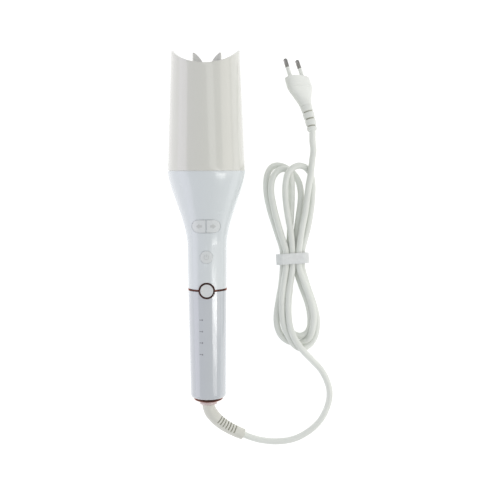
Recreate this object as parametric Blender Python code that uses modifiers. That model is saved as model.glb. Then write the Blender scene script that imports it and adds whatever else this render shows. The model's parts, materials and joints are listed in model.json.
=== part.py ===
"""Automatic hair curler: a rotating heated barrel inside an open chamber, on a round handle
with push buttons and a swivelling mains lead, lying on its back on a flat surface.

The tool is drawn in its own frame and then laid down: z runs along the axis from the handle's
end face to the head, -y is the side that carries the buttons, and +y is the side that carries
the hair slot. Lengths are in metres.
"""

import math

import bmesh
import bpy
from mathutils import Matrix, Vector

# ---------------------------------------------------------------- driving dimensions
GAP = 0.0003             # between pieces that touch
RUN = 0.0001             # extra radius of a bore round a shaft that turns in it
SIDES = 48               # facets of the large turned shells
FINE = 32                # facets of the smaller turned pieces

JOINT_Z = 0.2195         # seam between the housing and the chamber
SLEEVE_END = 0.0040      # where the grip sleeve stops above the handle's end face
BAND_Z = JOINT_Z - 0.1115     # middle of the trim band between grip and housing
BAND_WIDTH = 0.0016
WALL = 0.0020            # handle shells
CHAMBER_WALL = 0.0022

GRIP_END_R = 0.0169
GRIP_TOP_R = 0.0182
NECK_R = 0.0186
NECK_Z = JOINT_Z - 0.0695     # the neck stops being straight here and flares out
HEAD_R = 0.0364          # at the seam
RIM_R = 0.0320           # at the top of the chamber
REST_FLAT = 0.0005       # depth of the flat under the seam that keeps the tool from rolling

CHAMBER_LENGTH = 0.1112  # seam to the rim's side tips
FRONT_DIP = 0.0144       # how far the rim's middle lies below its side tips, at the front
BACK_DIP = 0.0135        # the same at the back
HORN_RISE = 0.0012       # how far the slot's two horns stand above the side tips
HORN_EDGE = 0.0135       # half the distance across the horns' outer edges
SLOT_WIDTH = 0.0092
SLOT_DEPTH = 0.0900      # slot's floor below the rim's side tips

BOSS_R = 0.0083
BOSS_OUT = 0.0030        # how far the end boss stands out of the handle's end face
SWIVEL_R = 0.0065
CORD_R = 0.0031

SPINDLE_R = 0.0050
JOURNAL_R = 0.0040
TUBE_R = 0.0125
TUBE_WALL = 0.0015
TUBE_LENGTH = 0.0780
TUBE_BASE_Z = JOINT_Z + 0.0105
CATCH_REACH = 0.0240

GEAR_MODULE = 0.0008
GEAR_TEETH = 18
PINION_TEETH = 9
GEAR_WIDTH = 0.0040
BRIDGE_Z = JOINT_Z - 0.0295    # lower face of the disc that carries the rear bush
GEAR_Z = BRIDGE_Z + 0.0060
SLIP_RINGS_Z = (GEAR_Z + 0.0070, GEAR_Z + 0.0110)
SLIP_RING_R = 0.0066
SLIP_RING_WIDTH = 0.0025
BUSH_WALL = 0.0025
SHAFT_R = 0.0013

BUTTON_PROUD = 0.0006
BUTTON_FLOOR = 0.0126    # distance of the buttons' inner faces from the axis
ROCKER_Z = JOINT_Z - 0.0512
ROCKER_LENGTH = 0.0263
ROCKER_WIDTH = 0.0120
POWER_Z = JOINT_Z - 0.0800
POWER_R = 0.0059
SELECT_R = 0.00605
BEZEL_R = 0.00755
BUTTON_CLEAR = 0.0003
BOARD_Y = -0.0058        # back face of the control board
BOARD_THICK = 0.0012
SUPPLY_Y = 0.0050        # front face of the supply board
SWITCH_SIDE = 0.0060
SWITCH_TALL = 0.0035

LAMP_X = -0.0052
LAMPS_Z = tuple(BAND_Z * share for share in (0.442, 0.544, 0.644, 0.745))
LAMP_R = 0.0007

HANK_TALL = 0.0152       # two layers of cord and a little slack
TIE_WALL = 0.0015
TIE_WIDTH = 0.0104
PIN_LENGTH = 0.0190
PIN_R = 0.0020

# the mains lead, in its own frame: metres from the point of the floor below the boss's face,
# x across the handle, y towards the head and z up
FLOOR_CORD = CORD_R + 0.0001
RELIEF_R = 0.0059
RELIEF_END_Z = 0.0060
RELIEF_ROUTE = (         # the third value is the share of the height from the end up to the boss
    (0.0006, -0.0047, 0.9342), (0.0024, -0.0088, 0.8327), (0.0078, -0.0158, 0.6194),
    (0.0160, -0.0226, 0.3858), (0.0254, -0.0282, 0.1625), (0.0332, -0.0318, 0.0),
)
LEAD_ROUTE = (
    (0.0336, -0.0320, 0.0059), (0.0410, -0.0352, 0.0044), (0.0500, -0.0380, FLOOR_CORD),
    (0.0656, -0.0394, FLOOR_CORD), (0.0822, -0.0370, FLOOR_CORD), (0.0973, -0.0292, FLOOR_CORD),
    (0.1084, -0.0185, FLOOR_CORD), (0.1152, -0.0049, FLOOR_CORD), (0.1171, 0.0061, FLOOR_CORD),
    (0.1152, 0.0169, FLOOR_CORD), (0.1084, 0.0305, FLOOR_CORD), (0.0970, 0.0446, FLOOR_CORD),
)
TAIL_ROUTE = ((0.1002, 0.2290, 0.0100), (0.1012, 0.2360, 0.0168))
HANK_OUTLINE = (
    (0.0880, 0.0459), (0.1000, 0.0544), (0.1065, 0.0734), (0.1073, 0.0904), (0.1040, 0.1104),
    (0.0985, 0.1274), (0.0955, 0.1383), (0.0985, 0.1524), (0.1012, 0.1784), (0.1012, 0.1984),
    (0.0995, 0.2184), (0.0920, 0.2309), (0.0750, 0.2329), (0.0605, 0.2294), (0.0543, 0.2134),
    (0.0529, 0.1954), (0.0560, 0.1704), (0.0625, 0.1504), (0.0668, 0.1383), (0.0652, 0.1234),
    (0.0642, 0.0934), (0.0645, 0.0734), (0.0690, 0.0554), (0.0780, 0.0469),
)
WAIST = (0.0811, 0.1383)     # middle of the tie
WAIST_WIDTH = 0.0282
PLUG_FACE = (0.0858, 0.3115, 0.0188)
PLUG_TURN = math.radians(16.5)
PLUG_DIP = math.radians(10)
PLUG_ROLL = math.radians(48)
PLUG_WIDTH = 0.0350
PLUG_THICK = 0.0137
PLUG_BODY = 0.0300
PLUG_RELIEF = 0.0250

# ---------------------------------------------------------------- derived places
LEAN = math.atan((HEAD_R - REST_FLAT - GRIP_END_R) / (JOINT_Z - 2 * SLEEVE_END))
TIPS_Z = JOINT_Z + CHAMBER_LENGTH
AXIS_HEIGHT = GRIP_END_R * math.cos(LEAN) - 2 * SLEEVE_END * math.sin(LEAN)
CENTRES = GEAR_MODULE * (GEAR_TEETH + PINION_TEETH) / 2
BAND_LOW = BAND_Z - BAND_WIDTH / 2
BAND_HIGH = BAND_Z + BAND_WIDTH / 2


# ---------------------------------------------------------------- scene helpers
def clear_scene():
    for thing in list(bpy.data.objects):
        bpy.data.objects.remove(thing)


def collection(name):
    made = bpy.data.collections.new(name)
    bpy.context.scene.collection.children.link(made)
    return made


def material(name, colour, roughness, metallic=0.0):
    made = bpy.data.materials.new(name)
    made.use_nodes = True
    shader = made.node_tree.nodes["Principled BSDF"]
    shader.inputs["Base Color"].default_value = (*colour, 1.0)
    shader.inputs["Roughness"].default_value = roughness
    shader.inputs["Metallic"].default_value = metallic
    made.diffuse_color = (*colour, 1.0)
    return made


clear_scene()
PARTS = collection("hair_curler")
CUTTERS = collection("cutters")

CREAM = material("cream_plastic", (0.74, 0.74, 0.70), 0.42)
WHITE = material("white_plastic", (0.76, 0.79, 0.80), 0.30)
GLOSS = material("grip_gloss", (0.60, 0.63, 0.67), 0.14)
ROSE = material("rose_gold", (0.72, 0.47, 0.40), 0.22, 1.0)
KEYS = material("button_white", (0.84, 0.86, 0.86), 0.35)
BLACK = material("insulator", (0.05, 0.05, 0.055), 0.5)
ALUMINIUM = material("coated_barrel", (0.35, 0.33, 0.33), 0.25, 1.0)
STEEL = material("steel", (0.62, 0.62, 0.63), 0.3, 1.0)
BRASS = material("brass", (0.72, 0.56, 0.28), 0.3, 1.0)
BOARD = material("circuit_board", (0.04, 0.22, 0.10), 0.5)
ACETAL = material("acetal", (0.85, 0.83, 0.76), 0.4)
CORD = material("cord_pvc", (0.70, 0.73, 0.69), 0.45)
STRAP = material("strap", (0.85, 0.86, 0.84), 0.8)
PLUG = material("plug_pvc", (0.78, 0.81, 0.77), 0.4)


def empty(name, parent=None, location=(0, 0, 0), rotation=(0, 0, 0)):
    made = bpy.data.objects.new(name, None)
    PARTS.objects.link(made)
    made.parent = parent
    made.location = location
    made.rotation_euler = rotation
    return made


WORLD = empty("curler_root")
TOOL = empty("tool_axis", WORLD, (0, 0, AXIS_HEIGHT), (LEAN - math.pi / 2, 0, 0))
LEAD = empty("lead_origin", WORLD)


def add(name, mesh, finish, parent=TOOL, location=(0, 0, 0), rotation=(0, 0, 0)):
    """A part: its mesh is shaded smooth with sharp edges kept."""
    made = bpy.data.objects.new(name, mesh)
    made.parent = parent
    made.location = location
    made.rotation_euler = rotation
    mesh.shade_smooth()
    mesh.set_sharp_from_angle(angle=math.radians(35))
    if finish is None:
        CUTTERS.objects.link(made)
        made.hide_render = True
        made.display_type = "WIRE"
    else:
        PARTS.objects.link(made)
        mesh.materials.append(finish)
    return made


def boolean(target, tool, operation="DIFFERENCE"):
    cut = target.modifiers.new(f"{operation.lower()} {tool.name}", "BOOLEAN")
    cut.operation = operation
    cut.object = tool
    cut.solver = "EXACT"
    return cut


def turned(name, profile, finish, steps=FINE, ring=True, **place):
    """A turned piece. The profile is (radius, z) points down the outer side and, for a ring,
    up the inner side; one that is not a ring starts and ends on the axis."""
    mesh = bpy.data.meshes.new(name)
    count = len(profile)
    edges = [(i, i + 1) for i in range(count - 1)] + ([(count - 1, 0)] if ring else [])
    mesh.from_pydata([(r, 0, z) for r, z in profile], edges, [])
    made = add(name, mesh, finish, **place)
    screw = made.modifiers.new("Turn", "SCREW")
    screw.angle = 2 * math.pi
    screw.steps = screw.render_steps = steps
    screw.use_merge_vertices = True
    screw.merge_threshold = 0.00001
    return made


def cylinder(name, radius, low, high, finish, steps=FINE, **place):
    return turned(
        name, [(0, high), (radius, high), (radius, low), (0, low)], finish, steps, ring=False, **place
    )


def ring(name, inner, outer, low, high, finish, steps=FINE, **place):
    return turned(
        name, [(outer, high), (outer, low), (inner, low), (inner, high)], finish, steps, **place
    )


def rod(name, radius, start, end, finish, steps=FINE, **place):
    """A round bar between two points of its parent's frame."""
    start, end = Vector(start), Vector(end)
    made = cylinder(name, radius, 0, (end - start).length, finish, steps, location=start, **place)
    made.rotation_euler = (end - start).to_track_quat("Z", "Y").to_euler()
    return made


def box(name, low, high, finish, bevel=0.0, **place):
    mesh = bpy.data.meshes.new(name)
    shape = bmesh.new()
    bmesh.ops.create_cube(shape, size=1.0)
    low, high = Vector(low), Vector(high)
    size = high - low
    bmesh.ops.scale(shape, vec=size, verts=shape.verts)
    bmesh.ops.translate(shape, vec=(low + high) / 2, verts=shape.verts)
    shape.to_mesh(mesh)
    shape.free()
    made = add(name, mesh, finish, **place)
    if bevel:
        edge = made.modifiers.new("Edges", "BEVEL")
        edge.width = bevel
        edge.segments = 2
    return made


def prism(name, outline, low, high, finish, flat="XZ", **place):
    """A closed outline made solid between two levels. On "XZ" the outline is (x, z) and the
    levels are y; on "XY" it is (x, y) and the levels are z."""
    curve = bpy.data.curves.new(name, "CURVE")
    curve.dimensions = "2D"
    curve.fill_mode = "BOTH"
    curve.extrude = (high - low) / 2
    spline = curve.splines.new("POLY")
    spline.points.add(len(outline) - 1)
    for point, (across, along) in zip(spline.points, outline):
        point.co = (across, along, 0, 1)
    spline.use_cyclic_u = True
    drawn = bpy.data.objects.new(name + " outline", curve)
    CUTTERS.objects.link(drawn)
    graph = bpy.context.evaluated_depsgraph_get()
    mesh = bpy.data.meshes.new_from_object(drawn.evaluated_get(graph))
    bpy.data.objects.remove(drawn)
    shape = bmesh.new()
    shape.from_mesh(mesh)
    bmesh.ops.remove_doubles(shape, verts=shape.verts, dist=0.00001)
    turn = Matrix.Rotation(math.pi / 2, 4, "X") if flat == "XZ" else Matrix.Identity(4)
    middle = (low + high) / 2
    shift = Vector((0, middle, 0)) if flat == "XZ" else Vector((0, 0, middle))
    bmesh.ops.transform(shape, matrix=Matrix.Translation(shift) @ turn, verts=shape.verts)
    bmesh.ops.recalc_face_normals(shape, faces=shape.faces)
    shape.to_mesh(mesh)
    shape.free()
    mesh.name = name
    return add(name, mesh, finish, **place)


def arc(centre, radius, start, end, count):
    """Points round an arc, in degrees."""
    turns = [math.radians(start + (end - start) * i / (count - 1)) for i in range(count)]
    return [(centre[0] + radius * math.cos(a), centre[1] + radius * math.sin(a)) for a in turns]


def smooth(low, high, value):
    share = min(max((value - low) / (high - low), 0.0), 1.0)
    return share * share * (3 - 2 * share)


# ---------------------------------------------------------------- outer form
def flare(count=12, offset=0.0):
    """(radius, z) down the flare from the seam to the neck, as a Bezier curve."""
    ends = (
        Vector((HEAD_R, JOINT_Z)),
        Vector((HEAD_R - 0.0004, JOINT_Z - 0.0155)),
        Vector((NECK_R + 0.0004, NECK_Z + 0.0220)),
        Vector((NECK_R, NECK_Z)),
    )
    points = []
    for i in range(count + 1):
        t = i / count
        weights = ((1 - t) ** 3, 3 * t * (1 - t) ** 2, 3 * t * t * (1 - t), t**3)
        place = sum((p * w for p, w in zip(ends, weights)), Vector((0, 0)))
        points.append((place[0] + offset, place[1]))
    return points


def housing_profile(offset=0.0):
    """The housing's outer side from the seam down to the trim band, moved out by offset."""
    return flare(offset=offset) + [(GRIP_TOP_R + offset, BAND_HIGH)]


def housing_radius(z):
    """Outer radius of the housing or grip at this height."""
    points = housing_profile() + [(GRIP_END_R, 2 * SLEEVE_END)]
    for (upper_r, upper_z), (lower_r, lower_z) in zip(points, points[1:]):
        if lower_z <= z <= upper_z:
            return lower_r + (upper_r - lower_r) * (z - lower_z) / (upper_z - lower_z)
    return GRIP_END_R


def pill_outline(length, width, middle, grow=0.0):
    """A slot-shaped outline across the handle."""
    reach, half = length / 2 - width / 2, width / 2 + grow
    return arc((reach, middle), half, -90, 90, 11) + arc((-reach, middle), half, 90, 270, 11)


# ---------------------------------------------------------------- housing and chamber
def cutters_for_buttons():
    """Holes through the front housing, deep enough to clear its inner face all round."""
    pocket = -BUTTON_FLOOR + 0.0060
    rocker = prism(
        "cut_rockers", pill_outline(ROCKER_LENGTH, ROCKER_WIDTH, ROCKER_Z, BUTTON_CLEAR),
        -2 * NECK_R, -BUTTON_FLOOR + 0.0020, None,
    )
    power = rod("cut_power", POWER_R + BUTTON_CLEAR, (0, -2 * NECK_R, POWER_Z), (0, pocket, POWER_Z), None)
    select = rod("cut_select", BEZEL_R + BUTTON_CLEAR, (0, -2 * NECK_R, BAND_Z), (0, pocket, BAND_Z), None)
    return rocker, power, select


def rest_flat():
    """Everything below the floor that the tool lies on."""
    return box("cut_rest_flat", (-0.1, -0.1, -0.1), (0.1, 0.5, 0), None, parent=WORLD)


def housings(rocker_hole, power_hole, select_hole, underside):
    top = JOINT_Z - GAP
    outer = [(r, min(z, top)) for r, z in housing_profile()]
    outer[-1] = (outer[-1][0], BAND_HIGH + GAP)
    inner = [(r - WALL, z) for r, z in reversed(outer)]
    for name, side in (("front_housing", 1), ("rear_housing", -1)):
        shell = turned(name, outer + inner, WHITE, SIDES)
        half = box(
            f"cut_{name}", (-0.1, -GAP / 2 if side > 0 else -0.1, -0.1),
            (0.1, 0.1 if side > 0 else GAP / 2, 0.5), None,
        )
        boolean(shell, half)
        if side > 0:
            for hole in (rocker_hole, power_hole, select_hole):
                boolean(shell, hole)
    boolean(shell, underside)
    return shell


def rim_height(angle):
    """Height of the chamber's rim at an angle from the front: high at the sides, low at the
    front and back, with a horn on each side of the slot at the back."""
    swing = math.sin(angle) ** 2
    dip = FRONT_DIP if math.cos(angle) > 0 else BACK_DIP
    height = TIPS_Z - dip * (1 - swing) ** 0.75
    across = abs(math.sin(angle)) * (RIM_R - CHAMBER_WALL / 2)
    if math.cos(angle) < 0:
        horn = smooth(HORN_EDGE + 0.0012, HORN_EDGE, across)
        height += (TIPS_Z + HORN_RISE - height) * horn
    return height


def chamber_shell(underside):
    """An open wall between the seam and the rim, thickened inwards, with the slot cut out."""
    across = math.degrees(math.asin(HORN_EDGE / (RIM_R - CHAMBER_WALL / 2)))
    fine = [180 - across - d for d in (4, 2.4, 1.2, 0.4)] + [180 - across + d for d in (0.3, 4, 8, 12, 16)]
    half = [a for a in range(0, 150, 6)] + fine
    angles = [math.radians(a) for a in half] + [math.pi]
    angles += [2 * math.pi - math.radians(a) for a in reversed(half[1:])]
    rows = 7
    low = JOINT_Z + GAP
    shape = bmesh.new()
    grid = []
    for row in range(rows + 1):
        line = []
        for angle in angles:
            z = low + (rim_height(angle) - low) * row / rows
            r = HEAD_R + (RIM_R - HEAD_R) * (z - JOINT_Z) / CHAMBER_LENGTH
            line.append(shape.verts.new((r * math.sin(angle), -r * math.cos(angle), z)))
        grid.append(line)
    for lower, upper in zip(grid, grid[1:]):
        for i in range(len(angles)):
            j = (i + 1) % len(angles)
            shape.faces.new((lower[i], lower[j], upper[j], upper[i]))
    mesh = bpy.data.meshes.new("chamber_shell")
    shape.to_mesh(mesh)
    shape.free()
    shell = add("chamber_shell", mesh, CREAM)
    wall = shell.modifiers.new("Wall", "SOLIDIFY")
    wall.thickness = CHAMBER_WALL
    wall.offset = -1
    top, half_slot, floor = TIPS_Z + HORN_RISE, SLOT_WIDTH / 2, TIPS_Z - SLOT_DEPTH
    lead_in = [(half_slot + (HORN_EDGE - half_slot) * u**1.8, top - 0.0100 * (1 - u**1.1))
               for u in (0, 0.25, 0.45, 0.65, 0.85)]
    edge = lead_in + [(HORN_EDGE - 0.0008, top + 0.0002), (HORN_EDGE - 0.0008, top + 0.0100)]
    outline = edge + [(-x, z) for x, z in reversed(edge)]
    outline += arc((0, floor + half_slot), half_slot, 180, 360, 9)
    boolean(shell, prism("cut_hair_slot", outline, 0.0100, 2 * HEAD_R, None))
    boolean(shell, underside)
    return shell


def chamber_floor():
    outer, hub = HEAD_R - CHAMBER_WALL - 2 * GAP, SPINDLE_R + 0.0060
    return turned(
        "chamber_floor",
        [(outer, JOINT_Z + 0.0040), (outer, JOINT_Z + 0.0015), (hub, JOINT_Z + 0.0015),
         (hub, JOINT_Z - 0.0060), (SPINDLE_R + 0.0030 + GAP, JOINT_Z - 0.0060),
         (SPINDLE_R + 0.0030 + GAP, JOINT_Z + 0.0040)],
        BLACK, SIDES,
    )


# ---------------------------------------------------------------- handle
def sleeve_profile():
    """Grip sleeve: down the outside, round the end, and up the inside."""
    top = BAND_LOW - GAP
    turn = [(GRIP_END_R - 0.0019 * (1 - math.cos(a)), SLEEVE_END + 0.0040 * (1 - math.sin(a)))
            for a in (math.radians(d) for d in range(0, 91, 15))]
    inner = GRIP_END_R - WALL
    return [(GRIP_TOP_R, top)] + turn + [(inner, SLEEVE_END), (inner, 0.0100), (GRIP_TOP_R - WALL, top)]


def handle(select_hole):
    sleeve = turned("grip_sleeve", sleeve_profile(), GLOSS, SIDES)
    boolean(sleeve, select_hole)
    band = ring("trim_band", GRIP_TOP_R - 0.0012, GRIP_TOP_R + 0.00015, BAND_LOW, BAND_HIGH, ROSE, SIDES)
    boolean(band, select_hole)
    ring(
        "select_bezel", SELECT_R + BUTTON_CLEAR, BEZEL_R, BUTTON_FLOOR - 0.0010,
        GRIP_TOP_R + 0.0005, ROSE, location=(0, 0, BAND_Z), rotation=(math.pi / 2, 0, 0),
    )
    plug_r = GRIP_END_R - WALL - GAP
    turned(
        "end_plate",
        [(plug_r, 0.0095), (plug_r, SLEEVE_END - GAP), (0.0135, 0.0016), (0.0112, 0.0004),
         (BOSS_R, 0.0), (BOSS_R, -BOSS_OUT), (SWIVEL_R + RUN, -BOSS_OUT),
         (SWIVEL_R + RUN, SLEEVE_END), (0.0120, SLEEVE_END), (0.0120, 0.0095)],
        ROSE, SIDES,
    )
    ring("swivel_retainer", SWIVEL_R + RUN, 0.0120 - GAP, 0.0069, 0.0089, ACETAL)
    lamps = box(
        "indicator_light_pipe", (LAMP_X - 0.0012, -0.0122, LAMPS_Z[0] - 0.0020),
        (LAMP_X + 0.0012, -0.0110, LAMPS_Z[-1] + 0.0020), KEYS,
    )
    for number, z in enumerate(LAMPS_Z, 1):
        surface = -math.sqrt(housing_radius(z) ** 2 - LAMP_X**2)
        hole = rod(f"cut_lamp_{number}", LAMP_R + 0.0002, (LAMP_X, -2 * NECK_R, z), (LAMP_X, -0.0125, z), None, 12)
        boolean(sleeve, hole)
        post = rod(f"post_{number}", LAMP_R, (LAMP_X, surface, z), (LAMP_X, -0.0115, z), None, 12)
        boolean(lamps, post, "UNION")


# ---------------------------------------------------------------- buttons
def button(name, outline):
    """A key that slides along y: its outer face follows the handle, and its stem reaches into
    the switch behind it."""
    outer = housing_profile(BUTTON_PROUD)
    skin = turned(f"skin_{name}", [(0, outer[0][1])] + outer + [(0, BAND_Z - 0.0100)], None, 96, ring=False)
    key = prism(name, outline, -2 * NECK_R, -BUTTON_FLOOR, KEYS)
    boolean(key, skin, "INTERSECT")
    return key


def keys_and_switches():
    board_face = BOARD_Y - BOARD_THICK
    top = board_face - GAP - SWITCH_TALL
    half_gap = 0.00055
    pill = pill_outline(ROCKER_LENGTH, ROCKER_WIDTH, ROCKER_Z)
    right = [p for p in pill if p[0] > half_gap]
    right = [(half_gap, ROCKER_Z - ROCKER_WIDTH / 2)] + right + [(half_gap, ROCKER_Z + ROCKER_WIDTH / 2)]
    left = [(-x, z) for x, z in reversed(right)]
    circle = arc((0, POWER_Z), POWER_R, 0, 350, 36)
    for name, outline, x, z in (
        ("left_button", left, -ROCKER_LENGTH / 4, ROCKER_Z),
        ("right_button", right, ROCKER_LENGTH / 4, ROCKER_Z),
        ("power_button", circle, 0, POWER_Z),
    ):
        key = button(name, outline)
        stem = rod(f"stem_{name}", 0.0013, (x, -BUTTON_FLOOR - 0.0010, z), (x, top + 0.0008, z), None, 12)
        boolean(key, stem, "UNION")
        switch(name.replace("button", "switch"), x, z, top, board_face)
    turned(
        "select_button",
        [(0, 0.0002), (0.0044, 0.0002), (0.0046, 0.0006), (SELECT_R - 0.0004, 0.0006), (SELECT_R, 0.0002),
         (SELECT_R, BUTTON_FLOOR - GRIP_TOP_R), (0.0013, BUTTON_FLOOR - GRIP_TOP_R),
         (0.0013, -top - GRIP_TOP_R - 0.0008), (0, -top - GRIP_TOP_R - 0.0008)],
        KEYS, ring=False, location=(0, -GRIP_TOP_R, BAND_Z), rotation=(math.pi / 2, 0, 0),
    )
    switch("select_switch", 0, BAND_Z, top, board_face)


def switch(name, x, z, top, board_face):
    half = SWITCH_SIDE / 2
    body = box(name, (x - half, top, z - half), (x + half, board_face - GAP, z + half), BLACK)
    well = rod(f"cut_{name}", 0.0017, (x, top - 0.0010, z), (x, top + 0.0024, z), None, 12)
    boolean(body, well)


# ---------------------------------------------------------------- electrics
def boards():
    low, high = BAND_Z - 0.0070, ROCKER_Z + 0.0117
    box("control_board", (-0.0128, BOARD_Y - BOARD_THICK, low), (0.0128, BOARD_Y, high), BOARD)
    half, face = 0.77 * (GRIP_END_R - WALL), SUPPLY_Y + BOARD_THICK
    box("supply_board", (-half, SUPPLY_Y, 0.20 * BAND_Z), (half, face, 0.86 * BAND_Z), BOARD)
    box("transformer", (-0.0080, -0.0080, 0.59 * BAND_Z), (0.0080, SUPPLY_Y - GAP, 0.76 * BAND_Z), BLACK, 0.0008)
    cylinder("capacitor", 0.0050, 0.28 * BAND_Z, 0.46 * BAND_Z, BLACK, 24, location=(0, -0.0004, 0))
    box("heater_relay", (-0.0060, face + GAP, 0.37 * BAND_Z), (0.0060, 0.0118, 0.52 * BAND_Z), WHITE, 0.0006)


# ---------------------------------------------------------------- drive
def gear_outline(teeth, centre=(0, 0), phase=0.0):
    """Straight-sided teeth about the pitch circle, with a little backlash."""
    pitch = GEAR_MODULE * teeth / 2
    tip, root = pitch + 0.85 * GEAR_MODULE, pitch - 1.15 * GEAR_MODULE
    points = []
    for tooth in range(teeth):
        middle = 2 * math.pi * tooth / teeth + phase
        for radius, share in ((root, -0.36), (tip, -0.12), (tip, 0.12), (root, 0.36)):
            angle = middle + share * 2 * math.pi / teeth
            points.append((centre[0] + radius * math.cos(angle), centre[1] + radius * math.sin(angle)))
    return points


def drive():
    quarter = math.pi / 2
    gear = prism("drive_gear", gear_outline(GEAR_TEETH, phase=quarter), GEAR_Z, GEAR_Z + GEAR_WIDTH,
                 ACETAL, flat="XY")
    boolean(gear, cylinder("cut_gear_bore", JOURNAL_R + GAP, GEAR_Z - 0.01, GEAR_Z + 0.02, None))
    phase = -quarter + math.pi / PINION_TEETH
    low, high = GEAR_Z - 0.0005, GEAR_Z + GEAR_WIDTH + 0.0005
    pinion = prism("motor_pinion", gear_outline(PINION_TEETH, phase=phase), low, high, BRASS,
                   flat="XY", location=(0, CENTRES, 0))
    bore = cylinder("cut_pinion_bore", SHAFT_R + GAP, low - 0.01, high + 0.01, None, 16,
                    location=(0, CENTRES, 0))
    boolean(pinion, bore)
    cylinder("motor_shaft", SHAFT_R, BRIDGE_Z + GAP, high + 0.0010, STEEL, 16, location=(0, CENTRES, 0))
    rim = housing_radius(BRIDGE_Z) - WALL - 0.0015
    bridge = cylinder("bearing_bridge", rim, BRIDGE_Z, BRIDGE_Z + 0.0030, ACETAL, SIDES)
    boolean(bridge, cylinder("cut_bridge", JOURNAL_R + BUSH_WALL + GAP, BRIDGE_Z - 0.01, BRIDGE_Z + 0.02, None))
    boolean(bridge, cylinder("cut_shaft_way", SHAFT_R + 0.0010, BRIDGE_Z - 0.01, BRIDGE_Z + 0.02, None, 16,
                             location=(0, CENTRES, 0)))
    ring("rear_bush", JOURNAL_R + RUN, JOURNAL_R + BUSH_WALL, BRIDGE_Z, BRIDGE_Z + 0.0040, BRASS)
    ring("front_bush", SPINDLE_R + RUN, SPINDLE_R + 0.0030, JOINT_Z - 0.0070, JOINT_Z + 0.0045, BRASS)
    box("motor_gearbox", (-0.0060, CENTRES - 0.0050, BRIDGE_Z - 0.0093),
        (0.0060, CENTRES + 0.0050, BRIDGE_Z - GAP), BRASS)
    box("motor_can", (-0.0060, CENTRES - 0.0050, BRIDGE_Z - 0.0246),
        (0.0060, CENTRES + 0.0050, BRIDGE_Z - 0.0096), STEEL, 0.0012)
    low, high = SLIP_RINGS_Z[0] - 0.0005, SLIP_RINGS_Z[1] + 0.0035
    box("brush_block", (-0.0050, -0.0150, low), (0.0050, -0.0082, high), BLACK, 0.0005)
    for name, base in zip(("brush_lower", "brush_upper"), SLIP_RINGS_Z):
        z = base + SLIP_RING_WIDTH / 2
        rod(name, 0.0009, (0, -0.0080, z), (0, -SLIP_RING_R - GAP, z), BRASS, 12)


def barrel():
    turned(
        "spindle",
        [(0, TUBE_BASE_Z + 0.0080), (SPINDLE_R, TUBE_BASE_Z + 0.0080), (SPINDLE_R, JOINT_Z - 0.0085),
         (JOURNAL_R, JOINT_Z - 0.0085), (JOURNAL_R, BRIDGE_Z - 0.0030), (0, BRIDGE_Z - 0.0030)],
        STEEL, ring=False,
    )
    for name, z in zip(("slip_ring_lower", "slip_ring_upper"), SLIP_RINGS_Z):
        ring(name, JOURNAL_R + GAP, SLIP_RING_R, z, z + SLIP_RING_WIDTH, BRASS)
    base = TUBE_BASE_Z
    turned(
        "barrel_base",
        [(SPINDLE_R + 0.0040, base + 0.0060), (SPINDLE_R + 0.0040, base - GAP), (0.0170, base - GAP),
         (0.0178, base - 0.0020), (0.0170, base - 0.0045), (SPINDLE_R + GAP, base - 0.0045),
         (SPINDLE_R + GAP, base + 0.0060)],
        BLACK,
    )
    top = base + TUBE_LENGTH
    ring("barrel_tube", TUBE_R - TUBE_WALL, TUBE_R, base, top, ALUMINIUM)
    cylinder("heater_core", TUBE_R - TUBE_WALL - 0.0005, base + 0.0085, top - 0.0060, STEEL)
    dome = [(TUBE_R * math.sin(math.radians(a)), top + GAP + 0.0010 + 0.0060 * math.cos(math.radians(a)))
            for a in range(0, 91, 15)]
    turned(
        "barrel_cap",
        dome + [(TUBE_R, top + GAP), (TUBE_R - TUBE_WALL - GAP, top + GAP),
                (TUBE_R - TUBE_WALL - GAP, top - 0.0050), (0, top - 0.0050)],
        BLACK, ring=False,
    )
    start, reach = TUBE_R + GAP, CATCH_REACH
    outline = [(start, top - 0.0300), (reach - 0.0030, top - 0.0140), (reach, top - 0.0090),
               (reach, top - 0.0010), (reach - 0.0025, top), (reach - 0.0050, top - 0.0020),
               (reach - 0.0060, top - 0.0070), (start, top - 0.0120)]
    prism("hair_catch", outline, -0.0012, 0.0012, BLACK)


def housing_screws(shell):
    """Three screws from the back, sunk into the rear housing."""
    high = JOINT_Z - 0.0135
    for name, x, z in (("screw_lower", 0, BAND_Z + 0.0140), ("screw_left", -0.0170, high), ("screw_right", 0.0170, high)):
        surface = math.sqrt(housing_radius(z) ** 2 - x**2)
        head = surface - 0.0030
        hole = rod(f"cut_{name}", 0.0028, (x, head - 0.0080, z), (x, 2 * HEAD_R, z), None, 16)
        boolean(shell, hole)
        turned(
            name, [(0, 0.0018), (0.0022, 0.0018), (0.0025, 0), (0.0012, 0), (0.0012, -0.0100), (0, -0.0100)],
            STEEL, 16, ring=False, location=(x, head, z), rotation=(-math.pi / 2, 0, 0),
        )


def build_tool():
    rocker_hole, power_hole, select_hole = cutters_for_buttons()
    underside = rest_flat()
    rear = housings(rocker_hole, power_hole, select_hole, underside)
    chamber_shell(underside)
    chamber_floor()
    handle(select_hole)
    keys_and_switches()
    boards()
    drive()
    barrel()
    housing_screws(rear)
    turned(
        "swivel_ferrule",
        [(SWIVEL_R, 0.0100), (SWIVEL_R, 0.0066), (0.0095, 0.0066), (0.0095, SLEEVE_END + GAP),
         (SWIVEL_R, SLEEVE_END + GAP), (SWIVEL_R, 0.0006 - BOSS_OUT), (CORD_R + 0.0010, 0.0006 - BOSS_OUT),
         (CORD_R + 0.0010, 0.0100)],
        ACETAL,
    )



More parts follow.
